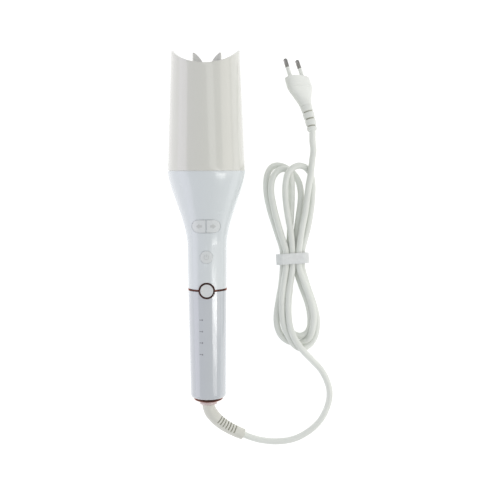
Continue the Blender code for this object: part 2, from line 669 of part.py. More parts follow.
# ---------------------------------------------------------------- mains lead
def through(points, spacing, closed=False):
    """Evenly spread places on a smooth curve that passes through the points."""
    points = [Vector(p) for p in points]
    count = len(points)
    fine = []
    for i in range(count if closed else count - 1):
        if closed:
            a, b, c, d = (points[(i + k) % count] for k in (-1, 0, 1, 2))
        else:
            b, c = points[i], points[i + 1]
            a = points[i - 1] if i else 2 * b - c
            d = points[i + 2] if i + 2 < count else 2 * c - b
        for t in (k / 12 for k in range(12)):
            fine.append(0.5 * (2 * b + (c - a) * t + (2 * a - 5 * b + 4 * c - d) * t**2
                               + (3 * b - a - 3 * c + d) * t**3))
    fine.append(points[0] if closed else points[-1])
    total = sum((q - p).length for p, q in zip(fine, fine[1:]))
    steps = max(2, round(total / spacing))
    found, run, target = [fine[0]], 0.0, total / steps
    for p, q in zip(fine, fine[1:]):
        length = (q - p).length
        while run + length >= target * len(found) - 1e-9 and len(found) <= steps:
            found.append(p.lerp(q, (target * len(found) - run) / length))
        run += length
    return found[:steps] if closed else found[: steps + 1]


def tube(name, points, radius, finish, taper=None, parent=LEAD):
    """A round tube along the points, whose radius may fall in proportion along its length."""
    curve = bpy.data.curves.new(name, "CURVE")
    curve.dimensions = "3D"
    curve.bevel_depth = radius
    curve.bevel_resolution = 3
    curve.use_fill_caps = True
    spline = curve.splines.new("POLY")
    spline.points.add(len(points) - 1)
    for i, (point, place) in enumerate(zip(spline.points, points)):
        point.co = (*place, 1)
        point.radius = 1 - (1 - taper) * i / (len(points) - 1) if taper else 1
    curve.materials.append(finish)
    made = bpy.data.objects.new(name, curve)
    made.parent = parent
    PARTS.objects.link(made)
    return made


def hank():
    """One solid for the folded runs, drawn in at the tie, which sits in a groove round it."""
    outline = [(p.x, p.y) for p in through([(*p, 0) for p in HANK_OUTLINE], 0.0045, closed=True)]
    body = prism("cord_hank", outline, 0.0001, HANK_TALL, CORD, flat="XY", parent=LEAD)
    half, width = WAIST_WIDTH / 2, TIE_WIDTH / 2 + GAP
    core = box("cut_waist_core", (WAIST[0] - half, WAIST[1] - 0.03, TIE_WALL + GAP),
               (WAIST[0] + half, WAIST[1] + 0.03, HANK_TALL - TIE_WALL - GAP), None, parent=LEAD)
    groove = box("cut_waist_groove", (WAIST[0] - 0.03, WAIST[1] - width, -0.01),
                 (WAIST[0] + 0.03, WAIST[1] + width, HANK_TALL + 0.01), None, parent=LEAD)
    boolean(groove, core)
    boolean(body, groove)
    half += GAP
    tie = box("cord_tie", (WAIST[0] - half - TIE_WALL, WAIST[1] - TIE_WIDTH / 2, 0.0001),
              (WAIST[0] + half + TIE_WALL, WAIST[1] + TIE_WIDTH / 2, HANK_TALL), STRAP, parent=LEAD)
    inside = box("cut_tie", (WAIST[0] - half, WAIST[1] - 0.03, TIE_WALL),
                 (WAIST[0] + half, WAIST[1] + 0.03, HANK_TALL - TIE_WALL), None, parent=LEAD)
    boolean(tie, inside)


def plug():
    """A flat two-pin plug, lying on the edge of its body. Its frame is at the pin face, with z
    towards the pins and x across them; returns where the cord enters, in the lead's frame."""
    turn = Matrix.Rotation(PLUG_TURN, 4, "Z") @ Matrix.Rotation(-math.pi / 2 - PLUG_DIP, 4, "X")
    frame = Matrix.Translation(PLUG_FACE) @ turn @ Matrix.Rotation(PLUG_ROLL, 4, "Z")
    place = empty("plug_frame", LEAD, frame.to_translation(), frame.to_euler())
    half = PLUG_WIDTH / 2
    side = [(half, 0), (half, -0.0090), (half - 0.0020, -0.0150), (half - 0.0080, -0.0250), (0.0068, -PLUG_BODY)]
    body = prism("plug_body", [(-x, z) for x, z in side] + side[::-1],
                 -PLUG_THICK / 2, PLUG_THICK / 2, PLUG, parent=place)
    edge = body.modifiers.new("Edges", "BEVEL")
    edge.width, edge.segments = 0.0018, 2
    neck = -PLUG_BODY - GAP
    end = neck - PLUG_RELIEF
    turned("plug_relief", [(0, neck), (0.0066, neck), (0.0064, neck - 0.0080), (0.0050, neck - 0.0084),
                           (0.0040, end), (0, end)], PLUG, 24, ring=False, parent=place)
    for name, side_x in (("plug_pin_left", -1), ("plug_pin_right", 1)):
        rod(name, PIN_R, (side_x * 0.0093, 0, GAP), (side_x * 0.00875, 0, PIN_LENGTH), STEEL, 16, parent=place)
    return frame @ Vector((0, 0, end - GAP)), -(frame.to_3x3() @ Vector((0, 0, 1)))


def mains_lead():
    outlet_y = -BOSS_OUT * math.cos(LEAN)
    outlet_z = AXIS_HEIGHT - BOSS_OUT * math.sin(LEAN)
    LEAD.location = (0, outlet_y, 0)
    out = Vector((0, -math.cos(LEAN), -math.sin(LEAN)))
    outlet = Vector((0, 0, outlet_z))
    start = [outlet + GAP * out, outlet + 0.0022 * out]
    route = [(x, y, RELIEF_END_Z + share * (outlet.z - RELIEF_END_Z)) for x, y, share in RELIEF_ROUTE]
    tube("strain_relief", through([*start, *route], 0.0040), RELIEF_R, CORD, taper=0.88)
    tube("cord_lead", through(LEAD_ROUTE, 0.0070), CORD_R, CORD)
    hank()
    entry, away = plug()
    tail = [*TAIL_ROUTE, entry + 0.0120 * away, entry + 0.0050 * away, entry]
    tube("cord_tail", through(tail, 0.0060), CORD_R, CORD)


LEAD_NODES = ("strain_relief", "cord_lead", "cord_hank", "cord_tie", "cord_tail", "plug_body",
              "plug_relief", "plug_pin_left", "plug_pin_right")


def centre_on_origin():
    """Moves everything so that the curler, without its lead, is centred over the origin."""
    bpy.context.view_layer.update()
    graph = bpy.context.evaluated_depsgraph_get()
    corners = []
    for part in PARTS.objects:
        if part.type == "MESH" and part.name not in LEAD_NODES:
            seen = part.evaluated_get(graph)
            corners += [seen.matrix_world @ v.co for v in seen.data.vertices]
    low = Vector([min(c[i] for c in corners) for i in range(3)])
    high = Vector([max(c[i] for c in corners) for i in range(3)])
    WORLD.location -= Vector(((low.x + high.x) / 2, (low.y + high.y) / 2, low.z))


build_tool()
mains_lead()
centre_on_origin()
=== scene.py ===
"""Automatic hair curler: looks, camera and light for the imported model.

Lengths are metres. Pieces of the tool are drawn in its own frame, z along the axis from the
handle's end face to the head and -y towards the buttons. Pieces of the lead are drawn in
millimetres from the point of the floor below the end boss, x across, y to the head, z up.
"""

import json
import math

import bmesh
import bpy
from mathutils import Matrix, Vector, noise


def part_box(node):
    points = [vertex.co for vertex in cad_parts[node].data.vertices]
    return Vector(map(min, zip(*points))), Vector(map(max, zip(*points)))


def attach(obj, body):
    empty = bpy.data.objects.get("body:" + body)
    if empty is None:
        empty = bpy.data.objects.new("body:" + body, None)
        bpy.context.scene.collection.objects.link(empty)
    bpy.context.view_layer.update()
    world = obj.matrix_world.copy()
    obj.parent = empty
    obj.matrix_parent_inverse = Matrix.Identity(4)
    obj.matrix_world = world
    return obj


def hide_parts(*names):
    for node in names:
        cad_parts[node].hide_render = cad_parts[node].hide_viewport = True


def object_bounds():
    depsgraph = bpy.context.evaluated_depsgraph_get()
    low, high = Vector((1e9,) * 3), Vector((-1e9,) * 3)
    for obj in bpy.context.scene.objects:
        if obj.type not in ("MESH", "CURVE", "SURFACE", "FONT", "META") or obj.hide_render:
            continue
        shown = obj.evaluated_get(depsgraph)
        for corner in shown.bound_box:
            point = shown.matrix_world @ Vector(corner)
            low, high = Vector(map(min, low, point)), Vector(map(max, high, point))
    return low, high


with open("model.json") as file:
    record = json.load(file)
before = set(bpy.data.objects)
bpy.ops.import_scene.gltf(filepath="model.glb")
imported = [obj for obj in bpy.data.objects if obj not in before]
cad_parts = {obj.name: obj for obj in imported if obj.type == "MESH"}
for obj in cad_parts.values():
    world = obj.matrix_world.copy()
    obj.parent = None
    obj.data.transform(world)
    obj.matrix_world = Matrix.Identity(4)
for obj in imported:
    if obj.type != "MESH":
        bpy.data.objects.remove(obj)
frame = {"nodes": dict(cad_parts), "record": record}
CAD_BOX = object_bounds()
NODES = frame["nodes"]
JOINTS = {j["name"]: j for j in frame["record"]["behaviour"]["joints"]}

# ---------------------------------------------------------------- frames
AXIS = Vector(JOINTS["cord_swivel"]["axis"]).normalized()
SWIVEL_S, BOSS_OUT = 0.0030, 0.0030
END = Vector(JOINTS["cord_swivel"]["pos_m"]) - SWIVEL_S * AXIS
SIDE = Vector((1, 0, 0))
TOOL = Matrix.Translation(END) @ Matrix((SIDE, AXIS.cross(SIDE), AXIS)).transposed().to_4x4()
LEAD = Matrix.Translation((0, (END - BOSS_OUT * AXIS).y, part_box("cord_hank")[0].z - 0.0001))
MM = 0.001
LEAD_MM = LEAD @ Matrix.Scale(MM, 4)

# ---------------------------------------------------------------- sizes shared with the CAD
JOINT_Z, CHAMBER_LENGTH = 0.2195, 0.1112
TIPS_Z = JOINT_Z + CHAMBER_LENGTH
HEAD_R, RIM_R, CHAMBER_WALL = 0.0364, 0.0320, 0.0022
FRONT_DIP, BACK_DIP, HORN_RISE, HORN_EDGE = 0.0144, 0.0135, 0.0012, 0.0135
SLOT_WIDTH, SLOT_DEPTH = 0.0092, 0.0900
GRIP_END_R, GRIP_TOP_R, NECK_R, NECK_Z, WALL = 0.0169, 0.0182, 0.0186, 0.1500, 0.0020
BAND_Z, BAND_WIDTH, SLEEVE_END = 0.1080, 0.0016, 0.0040
ROCKER_Z, ROCKER_LENGTH, ROCKER_WIDTH = 0.1683, 0.0263, 0.0120
POWER_Z, POWER_R, SELECT_R, BEZEL_R = 0.1395, 0.0059, 0.00605, 0.00755
LAMP_X, LAMPS_Z = -0.0052, (0.0477, 0.0588, 0.0696, 0.0805)
BOSS_R, SWIVEL_R, CORD_R = 0.0083, 0.0065, 0.0031
TUBE_R, TUBE_WALL, TUBE_LENGTH, TUBE_BASE_Z, SPINDLE_R = 0.0125, 0.0015, 0.0780, 0.2300, 0.0050
GAP = 0.0003
FRONT_CUT = (-0.0600, -0.0085)   # y levels of a cutter that goes through the button side only


# ---------------------------------------------------------------- materials
def settle(node, **values):
    """Sets a node's inputs; an underscore in a name stands for a space."""
    for name, value in values.items():
        node.inputs[name.replace("_", " ")].default_value = value
    return node


def finish(name, colour, rough=0.4, metal=0.0, vary=0.03, rough_vary=0.05, scale=40.0, grain=900.0,
           grain_depth=0.000012, coat=0.0, coat_rough=0.05, ior=1.5, wear=0.0, sheen=0.0, specular=0.5):
    """Moulded plastic or metal: cloudy colour and roughness, a fine surface grain, and edges a
    little paler where they are handled. Uniform numbers sit on the shader's own sockets."""
    made = bpy.data.materials.new(name)
    made.use_nodes = True
    tree = made.node_tree
    shader = tree.nodes["Principled BSDF"]
    put, link = tree.nodes.new, tree.links.new
    place = put("ShaderNodeTexCoord")

    def clouds(size, detail):
        texture = settle(put("ShaderNodeTexNoise"), Scale=size, Detail=detail)
        link(place.outputs["Object"], texture.inputs["Vector"])
        return texture.outputs["Fac"]

    tint = put("ShaderNodeValToRGB")
    low, high = tint.color_ramp.elements
    low.position, high.position = 0.3, 0.7
    low.color = (*[max(0.0, c * (1 - vary)) for c in colour], 1)
    high.color = (*[min(1.0, c * (1 + vary)) for c in colour], 1)
    link(clouds(scale, 5.0), tint.inputs["Fac"])
    surface = tint.outputs["Color"]
    if wear:
        shape = put("ShaderNodeNewGeometry")
        edge = settle(put("ShaderNodeMapRange"), From_Min=0.54, From_Max=0.66, To_Max=wear)
        link(shape.outputs["Pointiness"], edge.inputs["Value"])
        mix = put("ShaderNodeMix")
        mix.data_type = "RGBA"
        link(edge.outputs["Result"], mix.inputs["Factor"])
        link(surface, mix.inputs[6])
        mix.inputs[7].default_value = (*[min(1.0, c * 1.25 + 0.03) for c in colour], 1)
        surface = mix.outputs[2]
    link(surface, shader.inputs["Base Color"])
    spread = settle(put("ShaderNodeMapRange"), From_Min=0.3, From_Max=0.7, To_Min=max(0.02, rough - rough_vary),
                    To_Max=min(1.0, rough + rough_vary))
    link(clouds(scale * 3.1, 4.0), spread.inputs["Value"])
    link(spread.outputs["Result"], shader.inputs["Roughness"])
    bump = settle(put("ShaderNodeBump"), Strength=0.6, Distance=grain_depth)
    link(clouds(grain, 3.0), bump.inputs["Height"])
    link(bump.outputs["Normal"], shader.inputs["Normal"])
    settle(shader, Metallic=metal, IOR=ior, Specular_IOR_Level=specular, Coat_Weight=coat,
           Coat_Roughness=coat_rough, Sheen_Weight=sheen)
    made.diffuse_color = (*colour, 1)
    return made


def found(made, kind):
    """The material's own node of a kind."""
    return next(n for n in made.node_tree.nodes if n.type == kind)


def brushed(name, colour, rough=0.3, stretch=(900, 900, 20), depth=0.00002):
    """Turned or brushed metal: the finish with its grain drawn out along one direction."""
    made = finish(name, colour, rough, metal=1.0, vary=0.06, rough_vary=0.08)
    tree, bump = made.node_tree, found(made, "BUMP")
    lines = settle(bump.inputs["Height"].links[0].from_node, Scale=1.0)
    squeeze = settle(tree.nodes.new("ShaderNodeMapping"), Scale=stretch)
    settle(bump, Distance=depth)
    tree.links.new(found(made, "TEX_COORD").outputs["Object"], squeeze.inputs["Vector"])
    tree.links.new(squeeze.outputs["Vector"], lines.inputs["Vector"])
    return made


def circuit_board():
    """Green solder mask with copper runs showing through between the fields."""
    made = finish("circuit_board", (0.02, 0.16, 0.07), 0.35, vary=0.12, scale=160, coat=0.4)
    tree = made.node_tree
    cells = settle(tree.nodes.new("ShaderNodeTexBrick"), Scale=260.0, Mortar_Size=0.05, Color1=(0.02, 0.17, 0.07, 1),
                   Color2=(0.015, 0.13, 0.06, 1), Mortar=(0.07, 0.30, 0.13, 1))
    tree.links.new(found(made, "TEX_COORD").outputs["Object"], cells.inputs["Vector"])
    tree.links.new(cells.outputs["Color"], tree.nodes["Principled BSDF"].inputs["Base Color"])
    return made


def loops_tape(name, colour):
    """Hook-and-loop tape: tiny loops standing close together on a woven ground."""
    made = finish(name, colour, 0.9, vary=0.05, scale=300, sheen=0.35, specular=0.2)
    tree = made.node_tree
    bump = settle(found(made, "BUMP"), Distance=0.00035, Strength=0.8)
    cells = settle(tree.nodes.new("ShaderNodeTexVoronoi"), Scale=1500.0)
    tree.links.new(found(made, "TEX_COORD").outputs["Object"], cells.inputs["Vector"])
    tree.links.new(cells.outputs["Distance"], bump.inputs["Height"])
    return made


CREAM = finish("cream_shell", (0.668, 0.668, 0.618), 0.22, vary=0.006, rough_vary=0.02, grain=2600,
               grain_depth=0.000004, coat=0.9, coat_rough=0.07, ior=1.55, wear=0.2)
# A lit copy of the cream, painted paler than the shell: painted light on the chamber's shaded inner faces and on the
# seam liner.
CREAM_PAINTED_LIGHT = finish("cream_inner_painted_light", (0.86, 0.86, 0.83), 0.35, vary=0.01, grain=1800, wear=0.1)
WHITE = finish("white_shell", (0.674, 0.714, 0.728), 0.26, vary=0.005, rough_vary=0.015, grain=2600,
               grain_depth=0.000004, coat=0.6, coat_rough=0.12, wear=0.2)
GRIP = finish("grip_gloss", (0.55, 0.578, 0.606), 0.14, vary=0.010, rough_vary=0.02, grain=1500,
              grain_depth=0.000004, coat=1.0, coat_rough=0.03, wear=0.15)
# Rose metal with its colour painted near-black: painted shade standing in for the dark reflection of the room
# overhead. Its pink shows only at grazing angles, through the specular tint below.
ROSE_PAINTED_SHADE = finish("rose_metal", (0.085, 0.040, 0.033), 0.12, metal=1.0, vary=0.05, scale=80, grain=3000,
              grain_depth=0.000006, wear=0.5)
ROSE_DARK = finish("rose_metal_dark", (0.075, 0.040, 0.034), 0.18, metal=1.0, vary=0.08, scale=90, grain=2400)
BLUSH = finish("blush_boss", (0.70, 0.58, 0.56), 0.30, vary=0.02, scale=60, grain=2400, coat=0.3, wear=0.3)
for metal in (ROSE_PAINTED_SHADE, ROSE_DARK):
    settle(metal.node_tree.nodes["Principled BSDF"], Specular_Tint=(1.0, 0.62, 0.56, 1))
KEYS = finish("keys_white", (0.690, 0.715, 0.715), 0.30, vary=0.010, grain=2600, grain_depth=0.000008,
              coat=0.4, coat_rough=0.12, wear=0.3)
ICON = finish("keys_marks", (0.56, 0.575, 0.57), 0.45, vary=0.03, scale=300, grain=3000)
LENS = finish("lamp_lens", (0.26, 0.27, 0.29), 0.25, vary=0.05, scale=600, grain=3000, coat=0.5)
BLACK = finish("insulator_black", (0.020, 0.020, 0.022), 0.5, vary=0.15, scale=120, grain=1400,
               grain_depth=0.00003, wear=0.05)
CERAMIC = finish("ceramic_barrel", (0.085, 0.080, 0.082), 0.22, metal=0.6, vary=0.12, scale=200, grain=3500,
                 grain_depth=0.00001, coat=0.5, coat_rough=0.12)
ACETAL = finish("acetal_natural", (0.80, 0.77, 0.68), 0.42, vary=0.03, grain=1200, wear=0.2)
STEEL = brushed("turned_steel", (0.60, 0.60, 0.61), 0.27)
BRASS = brushed("machined_brass", (0.70, 0.52, 0.24), 0.30)
NICKEL = finish("plated_pin", (0.30, 0.295, 0.28), 0.16, metal=1.0, vary=0.06, scale=200, grain=3000, wear=0.4)
BOARD = circuit_board()
CORD = finish("cord_pvc", (0.770, 0.792, 0.748), 0.42, vary=0.02, rough_vary=0.06, scale=50, grain=1800,
              grain_depth=0.00002, coat=0.15, coat_rough=0.3)
RELIEF = finish("relief_pvc", (0.68, 0.68, 0.62), 0.46, vary=0.03, scale=70, grain=1600,
                grain_depth=0.00002, wear=0.2)
# A darker copy of the pvc for the faces inside the cuts and grooves: painted shade in the recesses.
RELIEF_CUT_SHADE = finish("relief_cuts_painted_shade", (0.45, 0.45, 0.38), 0.6, vary=0.08, scale=120, grain=1600)
PLUG = finish("plug_pvc", (0.790, 0.808, 0.770), 0.40, vary=0.02, rough_vary=0.05, scale=60, grain=1500,
              grain_depth=0.00002, coat=0.1, coat_rough=0.3, wear=0.25)
STRAP = loops_tape("strap_loops", (0.80, 0.82, 0.81))


# ---------------------------------------------------------------- building helpers
def piece(name, mesh, material, body, slot, *replaced, matrix=TOOL, smooth=40, more=()):
    """An object of its own that rides a body, with its finish and the nodes it stands for. The
    matrix takes the mesh from the frame that it was drawn in to the world."""
    mesh.transform(matrix)
    made = bpy.data.objects.new(name, mesh)
    bpy.context.scene.collection.objects.link(made)
    for m in (material, *more):
        mesh.materials.append(m)
    if isinstance(mesh, bpy.types.Mesh):
        mesh.shade_smooth()
        mesh.set_sharp_from_angle(angle=math.radians(smooth))
    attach(made, body)
    if replaced:
        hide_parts(*replaced)
    return made


def from_lists(name, points, faces):
    mesh = bpy.data.meshes.new(name)
    mesh.from_pydata([tuple(p) for p in points], [], faces)
    mesh.validate()
    return mesh


def tidy_mesh(mesh, merge=0.000004):
    shape = bmesh.new()
    shape.from_mesh(mesh)
    bmesh.ops.remove_doubles(shape, verts=shape.verts, dist=merge)
    bmesh.ops.recalc_face_normals(shape, faces=shape.faces)
    shape.to_mesh(mesh)
    shape.free()
    return mesh


def bevel(made, width, segments=3, angle=35):
    edge = made.modifiers.new("Edges", "BEVEL")
    edge.width, edge.segments = width, segments
    edge.limit_method, edge.angle_limit = "ANGLE", math.radians(angle)


def applied(made):
    """Bakes an object's modifiers into its mesh."""
    graph = bpy.context.evaluated_depsgraph_get()
    mesh = bpy.data.meshes.new_from_object(made.evaluated_get(graph))
    made.modifiers.clear()
    made.data = mesh
    return made


def turned_mesh(name, profile, steps=96, closed=False, start=0.0, sweep=2 * math.pi):
    """Turns (radius, z) points round the z axis. A closed profile makes a ring."""
    turns = steps if sweep == 2 * math.pi else steps + 1
    points, faces = [], []
    for i in range(turns):
        a = start + sweep * i / steps
        points += [(r * math.sin(a), -r * math.cos(a), z) for r, z in profile]
    n = len(profile)
    for i in range(steps):
        j = (i + 1) % turns
        for k in range(n if closed else n - 1):
            m = (k + 1) % n
            faces.append((i * n + k, i * n + m, j * n + m, j * n + k))
    return tidy_mesh(from_lists(name, points, faces))


def rounded(profile, radius, count=4, closed=True):
    """Rounds the corners of a (radius, z) outline."""
    pts = [Vector(p) for p in profile]
    n, out = len(pts), []
    for i, p in enumerate(pts):
        if not closed and i in (0, n - 1):
            out.append(tuple(p))
            continue
        a, b = pts[i - 1], pts[(i + 1) % n]
        to_a, to_b = (a - p), (b - p)
        straight = min(to_a.length, to_b.length) < 1e-9 or math.pi - to_a.angle(to_b) < math.radians(18)
        if straight:
            out.append(tuple(p))
            continue
        reach = min(radius, 0.45 * to_a.length, 0.45 * to_b.length)
        first, last = p + to_a.normalized() * reach, p + to_b.normalized() * reach
        for k in range(count + 1):
            t = k / count
            out.append(tuple((1 - t) ** 2 * first + 2 * t * (1 - t) * p + t * t * last))
    return out


def prism_mesh(name, outline, low, high):
    """A closed (x, z) outline made solid between two y levels."""
    n = len(outline)
    points = [(x, low, z) for x, z in outline] + [(x, high, z) for x, z in outline]
    faces = [tuple(range(n)), tuple(range(2 * n - 1, n - 1, -1))]
    faces += [(i, (i + 1) % n, (i + 1) % n + n, i + n) for i in range(n)]
    return tidy_mesh(from_lists(name, points, faces))


def cut(made, mesh, matrix=TOOL):
    """Cuts a mesh, drawn in the given frame, out of an object and bakes the result."""
    tool = bpy.data.objects.new("cutter", mesh)
    bpy.context.scene.collection.objects.link(tool)
    tool.matrix_world = matrix
    step = made.modifiers.new("Cut", "BOOLEAN")
    step.operation, step.object, step.solver = "DIFFERENCE", tool, "EXACT"
    bpy.context.view_layer.update()
    applied(made)
    bpy.data.objects.remove(tool)


def joined(name, meshes):
    """Several meshes as one, each keeping its place."""
    shape = bmesh.new()
    for mesh in meshes:
        shape.from_mesh(mesh)
    made = bpy.data.meshes.new(name)
    shape.to_mesh(made)
    shape.free()
    return made


def arc(cx, cz, radius, start, end, count):
    return [(cx + radius * math.cos(math.radians(start + (end - start) * i / (count - 1))),
             cz + radius * math.sin(math.radians(start + (end - start) * i / (count - 1))))
            for i in range(count)]


def oblong(x, z, half_width, half_height):
    """An upright rectangle as (x, z) points."""
    return [(x - half_width, z - half_height), (x + half_width, z - half_height),
            (x + half_width, z + half_height), (x - half_width, z + half_height)]


def pill(left, right, z, radius, count):
    """A round-ended outline between two centres, as (x, z) points."""
    return arc(right, z, radius, -90, 90, count) + arc(left, z, radius, 90, 270, count)


def smooth_again(made, angle):
    """Shades a mesh smooth after a cut, with its edges kept sharp."""
    made.data.shade_smooth()
    made.data.set_sharp_from_angle(angle=math.radians(angle))


def smoothly(low, high, value):
    """A soft step from 0 at low to 1 at high, which may be the smaller."""
    t = min(max((value - low) / (high - low), 0.0), 1.0)
    return t * t * (3 - 2 * t)


# ---------------------------------------------------------------- outer form
def flare(count):
    """The housing's (radius, z) curve from the seam down to the neck."""
    ends = (Vector((HEAD_R, JOINT_Z - GAP)), Vector((HEAD_R - 0.0004, JOINT_Z - 0.0155)),
            Vector((NECK_R + 0.0004, NECK_Z + 0.0220)), Vector((NECK_R, NECK_Z)))
    out = []
    for i in range(count + 1):
        t = i / count
        shares = ((1 - t) ** 3, 3 * t * (1 - t) ** 2, 3 * t * t * (1 - t), t**3)
        out.append(tuple(sum((share * end for share, end in zip(shares, ends)), Vector((0, 0)))))
    return out


HOUSING = flare(44) + [
    (NECK_R + (GRIP_TOP_R - NECK_R) * i / 8, NECK_Z + (BAND_Z + BAND_WIDTH / 2 - NECK_Z) * i / 8) for i in range(1, 9)
]


def skin_radius(z):
    """The outer radius of the housing or, below the band, of the grip."""
    for (ur, uz), (lr, lz) in zip(HOUSING, HOUSING[1:]):
        if lz <= z <= uz:
            return lr + (ur - lr) * (z - lz) / (uz - lz)
    if z > HOUSING[0][1]:
        return HOUSING[0][0]
    t = (BAND_Z - z) / (BAND_Z - 2 * SLEEVE_END)
    return GRIP_TOP_R + (GRIP_END_R - GRIP_TOP_R) * min(max(t, 0), 1)


def on_skin(x, z, lift=0.0):
    """The point of the button side's surface at x, z, lifted off it."""
    r = skin_radius(z) + lift
    return (x, -math.sqrt(max(r * r - x * x, 1e-9)), z)


def nearest_edge(x, z, outline):
    """The distance from a point to a closed outline."""
    best = 1.0
    for (ax, az), (bx, bz) in zip(outline, outline[1:] + outline[:1]):
        dx, dz = bx - ax, bz - az
        t = max(0.0, min(1.0, ((x - ax) * dx + (z - az) * dz) / (dx * dx + dz * dz + 1e-18)))
        best = min(best, math.hypot(x - ax - t * dx, z - az - t * dz))
    return best


def pad(name, outline, centre, lift, edge, depth, rings=10, dish=0.0):
    """A raised pad that follows the handle's surface inside an outline, with a rounded rim."""
    n = len(outline)
    steps = [1 - (1 - k / rings) ** 1.7 for k in range(1, rings + 1)]
    reach = max(math.hypot(x - centre[0], z - centre[1]) for x, z in outline)
    points, faces = [], []
    cx, cz = centre
    for share in steps:
        for x, z in outline:
            px, pz = cx + (x - cx) * share, cz + (z - cz) * share
            d = nearest_edge(px, pz, outline)
            drop = edge - math.sqrt(max(edge**2 - (edge - d) ** 2, 0)) if d < edge else 0.0
            hollow = dish * (1 - (math.hypot(px - cx, pz - cz) / reach) ** 2)
            points.append(on_skin(px, pz, lift - drop - hollow))
    for x, z in outline:
        points.append(on_skin(x, z, lift - depth))
    middle = len(points)
    points.append(on_skin(cx, cz, lift - dish))
    for k in range(len(steps)):
        for i in range(n):
            j = (i + 1) % n
            faces.append((k * n + i, k * n + j, (k + 1) * n + j, (k + 1) * n + i))
    faces += [(middle, (i + 1) % n, i) for i in range(n)]
    faces.append(tuple(range(len(steps) * n, len(steps) * n + n)))
    return tidy_mesh(from_lists(name, points, faces))


def dense(outline, step):
    """An outline with its long sides split."""
    out = []
    for (ax, az), (bx, bz) in zip(outline, outline[1:] + outline[:1]):
        count = max(1, round(math.hypot(bx - ax, bz - az) / step))
        out += [(ax + (bx - ax) * i / count, az + (bz - az) * i / count) for i in range(count)]
    return out


# ---------------------------------------------------------------- chamber
def rim_height(angle):
    dip = FRONT_DIP if math.cos(angle) > 0 else BACK_DIP
    return TIPS_Z - dip * (1 - math.sin(angle) ** 2) ** 0.75


def chamber():
    """The open shell: rows all the way round up to the slot's foot, rows up to the rim with the
    slot between their ends, and the two horns. Angles run from the front, 0, to the slot."""
    round_columns, horn_columns = 46, 9
    low_rows, foot_rows, straight_rows, horn_rows = 5, 7, 22, 10
    low, half, foot = JOINT_Z + GAP, SLOT_WIDTH / 2, TIPS_Z - SLOT_DEPTH
    top, horn_height = TIPS_Z + HORN_RISE, 0.0100
    edge_angle = math.pi - math.asin(HORN_EDGE / (RIM_R - CHAMBER_WALL / 2))
    valley = rim_height(edge_angle)
    points, faces = [], []

    def radius(z):
        return HEAD_R + (RIM_R - HEAD_R) * (z - JOINT_Z) / CHAMBER_LENGTH

    def slot_x(z):
        if z < foot + half:
            return math.sqrt(max(half**2 - (foot + half - z) ** 2, 0.0))
        rise = max(0.0, 1 - (top - z) / horn_height) ** (1 / 1.1)
        return half + (HORN_EDGE - 0.0008 - half) * rise**1.8

    def angle_at(column, z):
        if column <= round_columns:
            return edge_angle * column / round_columns
        slot_angle = math.pi - math.asin(slot_x(z) / radius(z))
        return edge_angle + (slot_angle - edge_angle) * (column - round_columns) / horn_columns

    def height(row, column):
        if row <= foot_rows:
            return foot + half * (1 - math.cos(math.pi / 2 * row / foot_rows))
        end = rim_height(edge_angle * min(column / round_columns, 1))
        return foot + half + (end - foot - half) * (row - foot_rows) / straight_rows

    def line(side, columns, heights):
        first = len(points)
        for column, z in zip(columns, heights):
            angle = side * angle_at(column, z)
            points.append((radius(z) * math.sin(angle), -radius(z) * math.cos(angle), z))
        return range(first, len(points))

    def join(side, lower, upper):
        for i in range(len(upper) - 1):
            quad = (lower[i], lower[i + 1], upper[i + 1], upper[i])
            faces.append(quad if side > 0 else quad[::-1])

    columns = range(round_columns + horn_columns + 1)
    for side in (1, -1):
        rows = [line(side, columns, [low + (foot - low) * row / low_rows] * len(columns))
                for row in range(low_rows + 1)]
        rows += [line(side, columns, [height(row, column) for column in columns])
                 for row in range(1, foot_rows + straight_rows + 1)]
        for lower, upper in zip(rows, rows[1:]):
            join(side, lower, upper)
        base = rows[-1][round_columns:]
        for row in range(1, horn_rows + 1):
            z = valley + (top - valley) * row / horn_rows
            above = line(side, columns[round_columns:], [z] * (horn_columns + 1))
            join(side, base, above)
            base = above
    mesh = tidy_mesh(from_lists("chamber", points, faces), 0.00001)
    made = piece("chamber_wall", mesh, CREAM, "handle", "cream_shell", "chamber_shell", more=[CREAM_PAINTED_LIGHT])
    wall = made.modifiers.new("Wall", "SOLIDIFY")
    wall.thickness, wall.offset, wall.use_even_offset = CHAMBER_WALL, -1, True
    # the inner faces take the paler cream copy, painted light where the inside lies in shade
    wall.material_offset = 1
    bevel(made, 0.00045, 3, 50)
    rest_flat(applied(made))


def rest_flat(made):
    """Takes off what lies below the floor, where the tool has its small resting flat."""
    low, far = CAD_BOX[0][2], 0.3
    square = ((-far, -far), (far, -far), (far, far), (-far, far))
    points = [(x, y, z) for z in (low - 0.1, low) for x, y in square]
    faces = [(3, 2, 1, 0), (4, 5, 6, 7), (0, 1, 5, 4), (1, 2, 6, 5), (2, 3, 7, 6), (3, 0, 4, 7)]
    cut(made, from_lists("below", points, faces), matrix=Matrix.Identity(4))
    smooth_again(made, 40)


def rocker_outline(grow, count):
    reach = (ROCKER_LENGTH - ROCKER_WIDTH) / 2
    return pill(-reach, reach, ROCKER_Z, ROCKER_WIDTH / 2 + grow, count)


def bezel_window(grow):
    """A cutter for the select button's bezel."""
    return prism_mesh("select", arc(0, BAND_Z, BEZEL_R + grow, 0, 352.5, 48), *FRONT_CUT)


